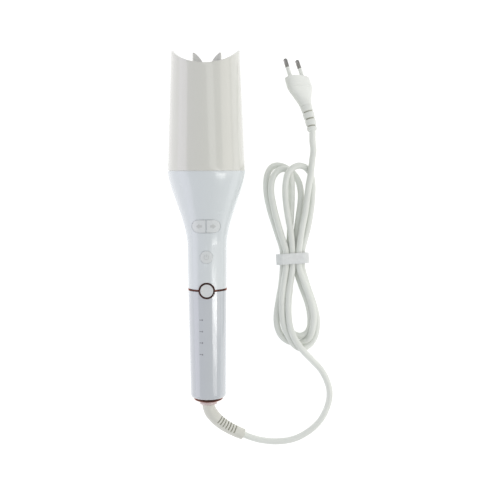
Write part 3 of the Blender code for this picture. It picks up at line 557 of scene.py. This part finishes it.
def housing_shells():
    seam = 0.002    # radians left open where the two shells meet
    profile = rounded(HOUSING + [(r - WALL, z) for r, z in reversed(HOUSING)], 0.0003, 3)
    shells = []
    for name, node, start in (("housing_front", "front_housing", -math.pi / 2),
                              ("housing_rear", "rear_housing", math.pi / 2)):
        mesh = turned_mesh(name, profile, 72, True, start + seam, math.pi - 2 * seam)
        shells.append(piece(name, mesh, WHITE, "handle", "white_shell", node, smooth=32))
    front, rear = shells
    cut(front, prism_mesh("pill", rocker_outline(GAP, 25), *FRONT_CUT))
    cut(front, prism_mesh("power", arc(0, POWER_Z, POWER_R + GAP, 0, 352.5, 48), *FRONT_CUT))
    cut(front, bezel_window(0.0002))
    for x, z in ((0, 0.1220), (-0.0170, 0.2060), (0.0170, 0.2060)):
        head = math.sqrt(skin_radius(z) ** 2 - x * x) - 0.0030
        cut(rear, prism_mesh("well", arc(x, z, 0.0028, 0, 345, 24), head - 0.004, 0.06))
    rest_flat(rear)
    for shell in shells:
        smooth_again(shell, 32)
        normals = shell.modifiers.new("Normals", "WEIGHTED_NORMAL")
        normals.keep_sharp = True


def seam_liner():
    """A shallow shadow gap between housing and chamber."""
    inner, outer, half = HEAD_R - 0.0016, HEAD_R - 0.0007, 0.0012
    outline = [(outer, JOINT_Z + half), (outer, JOINT_Z - half), (inner, JOINT_Z - half), (inner, JOINT_Z + half)]
    # The liner takes the paler cream copy: painted light where the gap would otherwise show shade.
    piece("seam_liner", turned_mesh("liner", outline, 128, True), CREAM_PAINTED_LIGHT, "handle", "cream_shell", smooth=50)


def key_surrounds():
    """Rings of shell just under the surface round the keys, and the rib between the two."""
    near, far, upper, lower = 0.00004, 0.0006, -0.0004, -0.0008
    for name, inner, outer in (
        ("pill", rocker_outline(near, 31), rocker_outline(far, 31)),
        ("power", arc(0, POWER_Z, POWER_R + near, 0, 354, 60), arc(0, POWER_Z, POWER_R + far, 0, 354, 60)),
    ):
        n = len(inner)
        corners = ((upper, inner), (upper, outer), (lower, outer), (lower, inner))
        points = [on_skin(x, z, lift) for lift, loop in corners for x, z in loop]
        faces = [(k * n + i, k * n + (i + 1) % n, (k + 1) % 4 * n + (i + 1) % n, (k + 1) % 4 * n + i)
                 for k in range(4) for i in range(n)]
        piece(f"{name}_surround", tidy_mesh(from_lists(name, points, faces)), WHITE, "handle", "white_shell")
    rib = dense(oblong(0, ROCKER_Z, 0.00044, 0.0061), 0.0008)
    piece("key_rib", pad("rib", rib, (0, ROCKER_Z), -0.0001, 0.0001, 0.0030, rings=4), WHITE, "handle",
          "white_shell")


# ---------------------------------------------------------------- keys and trim
def rocker_keys():
    """The two halves of the pill, each with an arrow that points away from the other."""
    half_gap, reach, r = 0.0005, (ROCKER_LENGTH - ROCKER_WIDTH) / 2, ROCKER_WIDTH / 2
    tip, tail, head, shaft = 0.0027, 0.15, 0.0026, 0.0011
    for side, name in ((-1, "left"), (1, "right")):
        outline = [(half_gap, ROCKER_Z - r)] + arc(reach, ROCKER_Z, r, -90, 90, 41) + [(half_gap, ROCKER_Z + r)]
        x = side * ROCKER_LENGTH / 4
        arrow = [(x + side * tip * along, ROCKER_Z + up) for along, up in (
            (1, 0), (-tail, head), (-tail, shaft), (-1, shaft), (-1, -shaft), (-tail, -shaft), (-tail, -head))]
        if side < 0:
            outline = [(-x, z) for x, z in reversed(outline)]
            arrow.reverse()
        key = pad(name, dense(outline, 0.0007), (x, ROCKER_Z), 0.0006, 0.0006, 0.0040, rings=12)
        centre = (x + side * tip * 0.05, ROCKER_Z)
        mark = pad("arrow", dense(arrow, 0.0003), centre, 0.00072, 0.0001, 0.0003, rings=4)
        piece(f"{name}_key", key, KEYS, f"{name}_button", "keys", f"{name}_button", smooth=50)
        piece(f"{name}_key_arrow", mark, ICON, f"{name}_button", "keys", smooth=50)


def power_key():
    """A round key with a broken ring and a bar standing in the gap."""
    disc = arc(0, POWER_Z, POWER_R, 0, 355, 72)
    key = pad("power", disc, (0, POWER_Z), 0.0006, 0.0006, 0.0040, rings=12, dish=0.00015)
    piece("power_key", key, KEYS, "power_button", "keys", "power_button", smooth=50)
    section = ((0.00195, 0.00040), (0.00202, 0.00062), (0.00240, 0.00062), (0.00247, 0.00040))
    points, faces, count = [], [], 44
    for i in range(count + 1):
        a = math.radians(125 + 290 * i / count)
        points += [on_skin(r * math.cos(a), POWER_Z + r * math.sin(a), lift) for r, lift in section]
    for i in range(count):
        faces += [(i * 4 + k, i * 4 + k + 1, i * 4 + k + 5, i * 4 + k + 4) for k in range(3)]
    ring = tidy_mesh(from_lists("arc", points, faces))
    middle = POWER_Z + 0.0015
    bar = pad("bar", dense(oblong(0, middle, 0.00024, 0.0012), 0.0003), (0, middle), 0.00066, 0.00005, 0.0003,
              rings=3)
    piece("power_key_mark", joined("mark", [ring, bar]), ICON, "power_button", "keys", smooth=50)


def select_key():
    """The select button, its bezel, and the band round the handle that runs into the bezel."""
    top, face = GRIP_TOP_R, TOOL @ Matrix.Translation((0, 0, BAND_Z)) @ Matrix.Rotation(math.pi / 2, 4, "X")
    select = [(0, top + 0.00020), (0.0040, top + 0.00022), (0.00425, top + 0.0003), (0.0044, top + 0.00055),
              (0.0046, top + 0.0006), (SELECT_R - 0.0005, top + 0.0006), (SELECT_R - 0.00015, top + 0.00045),
              (SELECT_R, top + 0.0001), (SELECT_R, top - 0.004)]
    piece("select_key", turned_mesh("select", select, 72), KEYS, "select_button", "keys", "select_button",
          matrix=face, smooth=60)
    # The bezel and the band take the rose metal whose dark colour is painted shade, a stand-in for a dark reflection.
    bezel = rounded([(BEZEL_R, top + 0.0005), (BEZEL_R, top - 0.0050), (SELECT_R + GAP, top - 0.0050),
                     (SELECT_R + GAP, top + 0.0003)], 0.0003, 4)
    piece("select_ring", turned_mesh("bezel", bezel, 96, True), ROSE_PAINTED_SHADE, "handle", "rose_metal", "select_bezel",
          matrix=face, smooth=60)
    inner, outer, half = top - 0.0012, top + 0.00015, BAND_WIDTH / 2
    band = rounded([(outer, BAND_Z + half), (outer, BAND_Z - half), (inner, BAND_Z - half), (inner, BAND_Z + half)],
                   0.0002, 3)
    strip = piece("rose_band", turned_mesh("band", band, 128, True), ROSE_PAINTED_SHADE, "handle", "rose_metal", "trim_band",
                  smooth=60)
    cut(strip, bezel_window(-0.0002))


# ---------------------------------------------------------------- grip and end
def grip():
    """The glossy sleeve with its four marks: a dot and a short dash each."""
    top, inner = BAND_Z - BAND_WIDTH / 2 - GAP, GRIP_END_R - WALL
    turn = [(GRIP_END_R - 0.0019 * (1 - math.cos(a)), SLEEVE_END + 0.0040 * (1 - math.sin(a)))
            for a in (math.radians(d) for d in range(0, 91, 6))]
    side = [(GRIP_TOP_R + (GRIP_END_R - GRIP_TOP_R) * i / 14, top + (2 * SLEEVE_END - top) * i / 14)
            for i in range(14)]
    profile = side + turn + [(inner, SLEEVE_END), (inner, 0.0100), (GRIP_TOP_R - WALL, top)]
    sleeve = piece("grip_skin", turned_mesh("sleeve", profile, 144, True), GRIP, "handle", "grip", "grip_sleeve",
                   smooth=35)
    cut(sleeve, bezel_window(0.0002))
    smooth_again(sleeve, 35)
    marks = []
    for z in LAMPS_Z:
        x = LAMP_X + 0.0006
        marks.append(pad("lamp", arc(x, z, 0.00082, 0, 345, 24), (x, z), 0.00006, 0.00006, 0.0006, rings=4))
        dash = pill(LAMP_X - 0.0016, LAMP_X - 0.0010, z, 0.00045, 9)
        marks.append(pad("dash", dash, (LAMP_X - 0.00125, z), 0.00006, 0.00005, 0.0006, rings=3))
    piece("grip_lamps", joined("lamps", marks), LENS, "handle", "keys", "indicator_light_pipe", smooth=60)


def end_plate():
    """The dark plate in the sleeve's end and the pale boss that the lead leaves by."""
    rim, bore = GRIP_END_R - WALL - GAP, SWIVEL_R + 0.0002
    plate = rounded([(rim, 0.0095), (rim, SLEEVE_END - GAP), (0.0135, 0.0016), (0.0112, 0.0004), (BOSS_R, 0.0)],
                    0.0004, 3, False)
    plate += rounded([(BOSS_R - 0.0002, -0.0001), (BOSS_R - 0.0002, -0.0006), (bore, -0.0006), (bore, SLEEVE_END),
                      (0.0120, SLEEVE_END), (0.0120, 0.0095)], 0.0001, 2, False)
    piece("end_ring", turned_mesh("plate", plate, 96, True), ROSE_DARK, "handle", "rose_metal", "end_plate")
    boss = rounded([(BOSS_R, 0.0002), (BOSS_R, -BOSS_OUT), (bore, -BOSS_OUT), (bore, 0.0002)], 0.0005, 4)
    piece("end_boss", turned_mesh("boss", boss, 96, True), BLUSH, "handle", "rose_metal", smooth=50)


# ---------------------------------------------------------------- barrel
def barrel():
    base, top = TUBE_BASE_Z, TUBE_BASE_Z + TUBE_LENGTH
    tube = rounded([(TUBE_R, top), (TUBE_R, base), (TUBE_R - TUBE_WALL, base), (TUBE_R - TUBE_WALL, top)], 0.0004, 4)
    piece("heated_tube", turned_mesh("tube", tube, 96, True), CERAMIC, "barrel", "coated_aluminium", "barrel_tube")
    dome = [(TUBE_R * math.sin(math.radians(a)), top + GAP + 0.0010 + 0.0060 * math.cos(math.radians(a)))
            for a in range(0, 91, 5)]
    cap = dome + rounded([(TUBE_R, top + GAP + 0.0008), (TUBE_R, top + GAP), (TUBE_R - TUBE_WALL - GAP, top + GAP),
                          (TUBE_R - TUBE_WALL - GAP, top - 0.0050), (0, top - 0.0050)], 0.0003, 3, False)
    piece("tube_cap", turned_mesh("cap", cap, 96), BLACK, "barrel", "insulator", "barrel_cap")
    foot = rounded([(SPINDLE_R + 0.0040, base + 0.0060), (SPINDLE_R + 0.0040, base - GAP), (0.0170, base - GAP),
                    (0.0178, base - 0.0020), (0.0170, base - 0.0045), (SPINDLE_R + GAP, base - 0.0045),
                    (SPINDLE_R + GAP, base + 0.0060)], 0.0005, 4)
    piece("tube_foot", turned_mesh("foot", foot, 96, True), BLACK, "barrel", "insulator", "barrel_base")
    start, reach = TUBE_R + GAP, 0.0240
    outline = [(start, top - 0.0300), (reach - 0.0030, top - 0.0140), (reach, top - 0.0090), (reach, top - 0.0010),
               (reach - 0.0025, top), (reach - 0.0050, top - 0.0020), (reach - 0.0060, top - 0.0070),
               (start, top - 0.0120)]
    hook = piece("catch_fin", prism_mesh("catch", rounded(outline, 0.0014, 5), -0.0012, 0.0012), BLACK, "barrel",
                 "insulator", "hair_catch", smooth=50)
    bevel(hook, 0.0005, 3, 50)


# ---------------------------------------------------------------- mains lead
# The whole lead as a listed route, in the order in which it was folded.
ROUTE = (
    # out of the relief and round to the hank's foot
    (33.6, -32.0, 5.9), (41.0, -35.2, 4.4), (50.6, -38.0, 3.2), (65.6, -39.4, 3.2), (82.2, -37.0, 3.2),
    (97.3, -29.2, 3.2), (108.4, -18.5, 3.2), (115.2, -4.9, 3.2), (117.3, 6.1, 3.3), (115.4, 16.9, 4.0),
    (109.5, 29.4, 5.8), (99.1, 41.1, 10.0), (91.7, 48.9, 12.8), (85.5, 57.3, 14.3), (81.0, 65.7, 13.4),
    (78.5, 74.1, 11.0), (77.4, 83.2, 9.5), (77.5, 101.1, 9.6), (81.4, 130.2, 10.4), (81.4, 138.4, 10.4),
    (81.4, 145.6, 10.4),
    # up, and over the top of the other folds
    (79.7, 164.8, 10.8), (76.5, 183.4, 10.8), (74.8, 199.9, 11.4), (75.2, 212.1, 13.4), (77.1, 219.9, 15.2),
    (81.8, 225.5, 15.0), (88.2, 227.9, 12.4), (94.6, 226.4, 9.0), (99.4, 220.7, 5.6), (101.4, 211.5, 3.6),
    (101.4, 200.4, 3.1), (100.0, 185.8, 3.1), (96.9, 168.4, 3.4), (91.0, 145.6, 5.0), (91.0, 138.3, 5.0),
    (91.0, 130.1, 5.0),
    # down, and round the outside of the foot
    (95.8, 113.0, 3.6), (102.3, 93.6, 3.1), (105.1, 81.3, 3.1), (105.2, 72.0, 3.1), (103.2, 62.6, 3.1),
    (98.1, 54.7, 3.3), (90.7, 51.0, 5.2), (83.6, 54.2, 8.6), (78.5, 61.1, 9.3), (73.9, 71.0, 8.6),
    (71.3, 83.1, 8.0), (71.4, 103.2, 9.0), (75.2, 130.2, 10.4), (75.2, 138.4, 10.4), (75.2, 145.6, 10.4),
    # up, and the middle fold at the top
    (69.5, 164.8, 9.6), (64.3, 184.8, 8.8), (61.2, 201.5, 8.0), (61.3, 209.9, 8.4), (63.0, 216.8, 9.2),
    (66.6, 222.2, 9.4), (71.8, 225.0, 9.4), (76.8, 224.2, 9.4), (79.8, 219.8, 9.2), (80.8, 213.8, 8.2),
    (81.2, 206.4, 5.6), (81.2, 198.0, 3.4), (80.6, 183.7, 3.1), (79.4, 164.9, 3.6), (78.6, 145.6, 5.0),
    (78.6, 138.3, 5.0), (78.6, 130.1, 5.0),
    # down, and the inside fold at the foot
    (79.2, 113.0, 3.6), (77.6, 91.4, 3.1), (78.0, 74.9, 3.1), (79.6, 68.5, 3.1), (83.5, 64.6, 3.1),
    (88.6, 63.2, 3.1), (93.7, 64.8, 3.1), (97.3, 69.0, 3.1), (98.8, 75.2, 3.1), (98.5, 84.2, 3.1),
    (96.1, 95.7, 3.1), (89.6, 113.7, 3.6), (84.8, 130.1, 5.0), (84.8, 138.3, 5.0), (84.8, 145.6, 5.0),
    # up, and the lowest fold at the top
    (86.1, 164.9, 3.6), (88.4, 182.3, 3.1), (90.0, 194.4, 3.1), (90.0, 203.4, 3.1), (88.4, 211.9, 3.1),
    (84.6, 219.0, 3.1), (78.0, 225.2, 3.1), (70.1, 228.8, 3.1), (63.2, 228.2, 3.1), (58.6, 222.8, 3.1),
    (56.6, 214.3, 3.1), (56.8, 201.8, 3.1), (60.2, 185.1, 3.1), (66.5, 164.9, 3.6), (72.3, 145.6, 5.0),
    (72.3, 138.3, 5.0), (72.3, 130.1, 5.0),
    # down, and the middle fold at the foot
    (70.7, 113.0, 3.6), (67.3, 93.6, 3.1), (65.9, 81.3, 3.1), (66.7, 72.0, 3.1), (70.3, 63.7, 3.1),
    (76.5, 58.3, 3.1), (83.5, 56.5, 3.1), (90.4, 56.9, 3.2), (96.5, 60.3, 5.4), (100.1, 68.1, 8.0),
    (101.6, 77.5, 9.0), (101.8, 84.6, 8.8), (98.8, 97.5, 8.6), (92.5, 115.4, 9.2), (87.6, 130.2, 10.4),
    (87.6, 138.4, 10.4), (87.6, 145.6, 10.4),
    # the tail, up to the plug
    (90.3, 164.8, 10.0), (93.7, 182.1, 9.6), (95.8, 197.2, 10.0), (97.6, 210.2, 11.2), (99.4, 221.1, 12.6),
    (100.5, 232.4, 15.2), (101.4, 242.0, 20.2),
)
RELIEF_ROUTE = ((0.6, -4.7, 15.2), (2.4, -8.8, 14.2), (7.8, -15.8, 12.1), (16.0, -22.6, 9.8), (25.4, -28.2, 7.6),
                (33.2, -31.8, 6.0))
WAIST = Vector((81.3, 138.3, 0))
PLUG_BODY, PLUG_RELIEF = 30.0, 25.0
PLUG_FACE = (85.8, 311.5, 18.8)


def through(points, spacing):
    """Evenly spread points on a smooth curve through the given ones."""
    points = [Vector(p) for p in points]
    fine = []
    for i in range(len(points) - 1):
        b, c = points[i], points[i + 1]
        a = points[i - 1] if i else 2 * b - c
        d = points[i + 2] if i + 2 < len(points) else 2 * c - b
        ta, tb = (b - a).length ** 0.5, (c - b).length ** 0.5
        tc = (d - c).length ** 0.5
        m1 = ((b - a) / ta - (c - a) / (ta + tb) + (c - b) / tb) * tb
        m2 = ((c - b) / tb - (d - b) / (tb + tc) + (d - c) / tc) * tb
        for k in range(16):
            t = k / 16
            fine.append((2 * t**3 - 3 * t**2 + 1) * b + (t**3 - 2 * t**2 + t) * m1
                        + (3 * t**2 - 2 * t**3) * c + (t**3 - t**2) * m2)
    fine.append(points[-1])
    total = sum((q - p).length for p, q in zip(fine, fine[1:]))
    steps = max(2, round(total / spacing))
    out, run = [fine[0]], 0.0
    for p, q in zip(fine, fine[1:]):
        length = (q - p).length
        while len(out) < steps and run + length >= total / steps * len(out):
            out.append(p.lerp(q, (total / steps * len(out) - run) / length))
        run += length
    return out + [fine[-1]], total


def capped(rows, across):
    """Faces of a tube whose points are listed ring by ring, with both its ends closed."""
    faces = []
    for i in range(rows - 1):
        for k in range(across):
            m = (k + 1) % across
            faces.append((i * across + k, i * across + m, (i + 1) * across + m, (i + 1) * across + k))
    last = rows * across - 1
    return faces + [tuple(range(across)), tuple(range(last, last - across, -1))]


def swept(name, points, across, radius):
    """Sweeps a ring along points without twist. across is the number of sides, and
    radius(share, angle) gives the ring's radius; angle 0 points to the ring's up side."""
    last = len(points) - 1
    tangents = [(points[min(i + 1, last)] - points[max(i - 1, 0)]).normalized() for i in range(last + 1)]
    side = tangents[0].cross(Vector((0, 0, 1))).normalized()
    verts = []
    for i, (p, t) in enumerate(zip(points, tangents)):
        side = (side - t * side.dot(t)).normalized()
        top = side.cross(t)
        for k in range(across):
            a = 2 * math.pi * k / across
            verts.append(p + radius(i / last, a) * (math.cos(a) * top + math.sin(a) * side))
    return tidy_mesh(from_lists(name, verts, capped(last + 1, across)), 0.0001)


def relief():
    """A tapered collar with seven cuts over its outer half, where it flexes."""
    out = -AXIS / MM
    start = LEAD.inverted() @ (END - BOSS_OUT * AXIS) / MM
    first = [start + out * MM * 0.3, start + out * MM * 2.2]
    points, total = through([*first, *RELIEF_ROUTE], 0.16)
    cuts = [0.40 + 0.064 * i for i in range(7)]

    def radius(share, angle):
        r = 5.9 + 0.35 * smoothly(0.05, 0.2, share) - 0.95 * share
        if share < 0.012:
            r -= 0.5 * (1 - share / 0.012) ** 2
        if share > 0.985:
            r -= 0.7 * ((share - 0.985) / 0.015) ** 2
        around = math.cos(angle - math.radians(-62))
        for c in cuts:
            r -= 1.2 * smoothly(0.62, 0.46, abs(share - c) * total) * smoothly(0.30, 0.45, around)
        return r

    mesh = swept("relief", points, 96, radius)
    # faces sunk into the cuts take the darker second material, painted shade
    for face in mesh.polygons:
        c = face.center
        near = min(range(0, len(points), 3), key=lambda i: (points[i] - c).length)
        near = min(range(max(0, near - 4), min(len(points), near + 5)), key=lambda i: (points[i] - c).length)
        share = near / (len(points) - 1)
        if (points[near] - c).length < 6.1 - 0.95 * share - 0.45 and 0.05 < share < 0.95:
            face.material_index = 1
    return piece("relief_boot", mesh, RELIEF, "lead", "cord", "strain_relief", matrix=LEAD_MM, smooth=50,
                 more=[RELIEF_CUT_SHADE])


def plug_frame():
    """The plug's frame in the lead's millimetres: at the pin face, z towards the pins."""
    turn = Matrix.Rotation(math.radians(16.5), 4, "Z") @ Matrix.Rotation(-math.pi / 2 - math.radians(10), 4, "X")
    return Matrix.Translation(PLUG_FACE) @ turn @ Matrix.Rotation(math.radians(48), 4, "Z")


def sleeve_line(local):
    """The plug's sleeve leaves along its axis and is bent a little by the hanging cord."""
    away = -(local.to_3x3() @ Vector((0, 0, 1)))
    start = local @ Vector((0, 0, -PLUG_BODY))
    end = local @ Vector((0, 0, -PLUG_BODY - PLUG_RELIEF)) + Vector((-1.3, 0, -0.6))
    return [start + away * 0.1, start + away * 8.0, start + away * 16.5 + Vector((-0.35, 0, -0.2)), end]


def plug():
    """The moulded plug: a body that swells to its pin face, a seam round it, a stepped collar, a
    ribbed sleeve and two part-sleeved pins. Drawn in millimetres with z towards the pins."""
    local = plug_frame()
    matrix = LEAD_MM @ local
    # (z, half width, half thickness, squareness) down the moulding, from the pin face
    levels = [
        (0.0, 14.6, 5.6, 2.5), (-0.3, 15.3, 6.1, 2.5), (-1.0, 15.8, 6.4, 2.5), (-5.0, 16.0, 6.5, 2.5),
        (-10.4, 16.1, 6.6, 2.5), (-10.8, 15.8, 6.3, 2.5), (-11.2, 16.0, 6.5, 2.5), (-14.0, 14.8, 6.5, 2.4),
        (-18.0, 12.2, 6.4, 2.3), (-22.0, 9.6, 6.2, 2.2), (-25.0, 7.9, 5.9, 2.1), (-27.5, 6.9, 5.7, 2.0),
        (-28.6, 6.6, 5.6, 2.0), (-29.6, 6.4, 5.5, 2.0), (-30.0, 6.0, 5.2, 2.0),
    ]
    count, verts, fine = 96, [], []
    for one, two in zip(levels, levels[1:]):
        fine += [tuple(a + (b - a) * i / 3 for a, b in zip(one, two)) for i in range(3)]
    fine.append(levels[-1])
    for z, w, h, n in fine:
        for k in range(count):
            c, d = math.cos(2 * math.pi * k / count), math.sin(2 * math.pi * k / count)
            verts.append((math.copysign(abs(c) ** (2 / n), c) * w, math.copysign(abs(d) ** (2 / n), d) * h, z))
    body = tidy_mesh(from_lists("plug", verts, capped(len(fine), count)), 0.001)
    made = [piece("plug_shell", body, PLUG, "lead", "plug_pvc", "plug_body", matrix=matrix, smooth=38)]
    path, total = through(sleeve_line(local), 0.16)
    grooves = (6.3, 13.3, 20.3)

    def radius(share, angle):
        run = share * total
        r = 5.75 - 1.25 * run / total
        r += 0.22 * math.sin(math.pi * ((run - 6.3) / 7.0 % 1.0)) if run > 6.3 else 0.0
        for groove in grooves:
            d = abs(run - groove)
            r -= 0.35 * smoothly(1.0, 0.6, d)
            r -= 1.0 * smoothly(0.75, 0.55, d) * smoothly(0.45, 0.62, abs(math.cos(angle)))
        if run > total - 0.7:
            r -= 0.7 * ((run - total + 0.7) / 0.7) ** 2
        return r

    mesh = swept("sleeve", path, 80, radius)
    # faces sunk into the grooves take the darker second material, painted shade
    for face in mesh.polygons:
        c = face.center
        near = min(range(len(path)), key=lambda i: (path[i] - c).length_squared)
        run = near / (len(path) - 1) * total
        if run > 4.0 and (path[near] - c).length < 5.75 - 1.25 * run / total - 0.95 and run < total - 1.2:
            face.material_index = 1
    made.append(piece("plug_sleeve", mesh, PLUG, "lead", "plug_pvc", "plug_relief", matrix=LEAD_MM, smooth=50,
                      more=[RELIEF_CUT_SHADE]))
    for name, x in (("left", -1), ("right", 1)):
        foot, tip = Vector((x * 9.3, 0, 0.2)), Vector((x * 8.75, 0, 19.0))
        stand = Matrix.Translation(foot) @ (tip - foot).to_track_quat("Z", "Y").to_matrix().to_4x4()
        length = (tip - foot).length
        collar = [(0, 0), (1.95, 0), (1.95, 9.6), (1.80, 9.9), (0, 9.9)]
        metal = [(0, 9.8), (1.95, 9.8), (2.0, 10.1), (2.0, length - 1.2), (1.7, length - 0.45), (1.15, length),
                 (0, length)]
        pin = turned_mesh("pin", rounded(metal, 0.3, 3, False), 48)
        cover = turned_mesh("collar", rounded(collar, 0.2, 3, False), 48)
        made.append(piece(f"pin_{name}_metal", pin, NICKEL, "lead", "steel", f"plug_pin_{name}",
                          matrix=matrix @ stand, smooth=50))
        made.append(piece(f"pin_{name}_sleeve", cover, PLUG, "lead", "plug_pvc", matrix=matrix @ stand, smooth=50))
    return made


def tie():
    """Hook-and-loop tape wound once and a third round the hank, its free end on top."""
    width, half, low, high, corner = 10.4, 15.1, 1.1, 14.1, 5.0
    turns, count, across, tilt = 1.30, 170, 12, math.radians(3.5)

    def boxed(share, grow):
        """A point of the rounded box round the hank, walked clockwise from its top left."""
        h, b, t, c = half + grow, low - grow, high + grow, corner + grow
        sides = (2 * (h - c), (t - b) - 2 * c) * 2
        quarter = math.pi * c / 2
        run, spot, turn = (share % 1.0) * (sum(sides) + 4 * quarter), Vector((-h + c, t)), 0.0
        for straight in sides:
            way = Vector((math.cos(turn), -math.sin(turn)))
            if run <= straight:
                return spot + way * run
            run -= straight
            centre = spot + way * straight - c * Vector((math.sin(turn), math.cos(turn)))
            a = turn + min(run, quarter) / c
            spot = centre + c * Vector((math.sin(a), math.cos(a)))
            if run <= quarter:
                return spot
            run -= quarter
            turn += math.pi / 2
        return spot

    middle = Vector((0, 0, (low + high) / 2))
    verts, faces = [], []
    for i in range(count + 1):
        share = turns * i / count
        grow = 0.10 + (0.95 * smoothly(0.93, 1.0, share) if share < 1.0 else 1.05 * smoothly(0.90, 1.04, share))
        x, z = boxed(share + 0.02, grow)
        p = Vector((x, 0, z))
        fray = 0.18 * noise.noise(Vector((i * 0.25, 3, 0)))
        for k in range(across + 1):
            v = (k / across - 0.5) * (width + fray)
            bulge = 0.12 * (1 - (2 * k / across - 1) ** 2)
            lift = 0.10 * noise.noise(Vector((i * 0.21, k * 0.6, 1)))
            q = p + (p - middle).normalized() * (bulge + lift)
            verts.append((WAIST.x + q.x - v * math.sin(tilt),
                          WAIST.y + v * math.cos(tilt) + q.x * math.tan(tilt), q.z))
    for i in range(count):
        for k in range(across):
            a = i * (across + 1) + k
            faces.append((a, a + 1, a + across + 2, a + across + 1))
    made = piece("cord_tape", from_lists("tape", verts, faces), STRAP, "lead", "strap", "cord_tie", matrix=LEAD_MM,
                 smooth=60)
    wall = made.modifiers.new("Tape", "SOLIDIFY")
    wall.thickness, wall.offset = 0.0009, 0
    bevel(made, 0.00022, 2, 60)
    return made


def mains_lead():
    """The one cord, from the relief through the hank to the plug, with the pieces on it."""
    boot = relief()
    plug_pieces = plug()
    line = sleeve_line(plug_frame())
    away = (line[-1] - line[-2]).normalized()
    entry = line[-1]
    points, total = through([*ROUTE, entry + Vector((0.4, -9.5, -3.4)), entry, entry - 6.0 * away], 2.2)
    curve = bpy.data.curves.new("mains_cord", "CURVE")
    curve.dimensions = "3D"
    curve.bevel_depth = CORD_R
    curve.bevel_resolution = 7
    curve.use_fill_caps = True
    spline = curve.splines.new("POLY")
    spline.points.add(len(points) - 1)
    for spot, p in zip(spline.points, points):
        spot.co = (*(p * MM), 1)
    spline.use_smooth = True
    cord = piece("mains_cord", curve, CORD, "lead", "cord", "cord_lead", "cord_hank", "cord_tail", matrix=LEAD)
    tape = tie()


# ---------------------------------------------------------------- carried-over nodes
CARRIED = {
    BLACK: ("chamber_floor", "brush_block", "left_switch", "right_switch", "power_switch", "select_switch",
            "transformer", "capacitor"),
    CREAM_PAINTED_LIGHT: ("heater_relay",),
    ACETAL: ("drive_gear", "bearing_bridge", "swivel_retainer", "swivel_ferrule"),
    STEEL: ("spindle", "motor_shaft", "motor_can", "heater_core", "screw_lower", "screw_left", "screw_right"),
    BRASS: ("motor_pinion", "rear_bush", "front_bush", "motor_gearbox", "brush_lower", "brush_upper",
            "slip_ring_lower", "slip_ring_upper"),
    BOARD: ("control_board", "supply_board"),
}
for shade, names in CARRIED.items():
    for node in names:
        mesh = NODES[node].data
        mesh.materials.clear()
        mesh.materials.append(shade)

# ---------------------------------------------------------------- the whole
chamber()
housing_shells()
seam_liner()
key_surrounds()
rocker_keys()
power_key()
select_key()
grip()
end_plate()
barrel()
mains_lead()


# ---------------------------------------------------------------- stage, light and camera
def floor():
    """A bright, evenly lit sheet, so that the ground comes out white."""
    mesh = from_lists("floor", [(-4, -4, 0), (4, -4, 0), (4, 4, 0), (-4, 4, 0)], [(0, 1, 2, 3)])
    made = bpy.data.objects.new("floor", mesh)
    bpy.context.scene.collection.objects.link(made)
    made.location.z = CAD_BOX[0][2] - 0.0003
    pale = bpy.data.materials.new("paper_floor")
    pale.use_nodes = True
    shader = pale.node_tree.nodes["Principled BSDF"]
    settle(shader, Base_Color=(0.55, 0.55, 0.55, 1), Roughness=0.9, Specular_IOR_Level=0.0,
           Emission_Color=(1, 1, 1, 1), Emission_Strength=0.72)
    mesh.materials.append(pale)


def soft_light(name, place, target, size, radiance, colour):
    """An area light of the given radiance, aimed at a target."""
    light = bpy.data.lights.new(name, "AREA")
    light.shape = "RECTANGLE"
    light.size, light.size_y = size
    light.energy = radiance * size[0] * size[1] * math.pi
    light.color = colour
    made = bpy.data.objects.new(name, light)
    bpy.context.scene.collection.objects.link(made)
    made.location = place
    made.rotation_euler = (Vector(target) - Vector(place)).to_track_quat("-Z", "Y").to_euler()


def stage():
    floor()
    world = bpy.context.scene.world or bpy.data.worlds.new("studio")
    bpy.context.scene.world = world
    world.use_nodes = True
    settle(world.node_tree.nodes["Background"], Color=(0.97, 0.985, 1.0, 1), Strength=0.60)
    # three strips side by side, each weaker than the one before
    for i, (y, width, radiance) in enumerate(((-0.36, 0.12, 6.0), (-0.47, 0.10, 3.4), (-0.57, 0.10, 1.4))):
        soft_light(f"key_{i}", (0.93, y, 0.92), (0, y + 0.03, 0.03), (width, 0.66), radiance, (1.0, 0.99, 0.97))
    soft_light("overhead", (0.30, 0.38, 1.50), (0, 0.12, 0.03), (2.30, 0.45), 0.85, (1.0, 0.995, 0.98))
    soft_light("warm_side", (1.2, 0.25, 0.55), (0, 0.05, 0.03), (1.4, 0.8), 0.8, (1.0, 0.94, 0.88))
    soft_light("fill", (-1.3, -0.1, 0.42), (0, 0, 0.03), (1.8, 0.80), 1.15, (0.92, 0.86, 1.0))
    view = bpy.context.scene.view_settings
    view.view_transform, view.look = "Standard", "None"
    view.exposure, view.gamma = 0.0, 1.0
    lens = bpy.data.cameras.new("camera")
    lens.lens, lens.sensor_width, lens.clip_end = 67.18, 36.0, 20.0
    camera = bpy.data.objects.new("camera", lens)
    bpy.context.scene.collection.objects.link(camera)
    camera.location = END + Vector((0.0404, 0.143874, 0.894855))
    camera.rotation_euler = (0, 0, math.radians(-0.26))
    bpy.context.scene.camera = camera


stage()
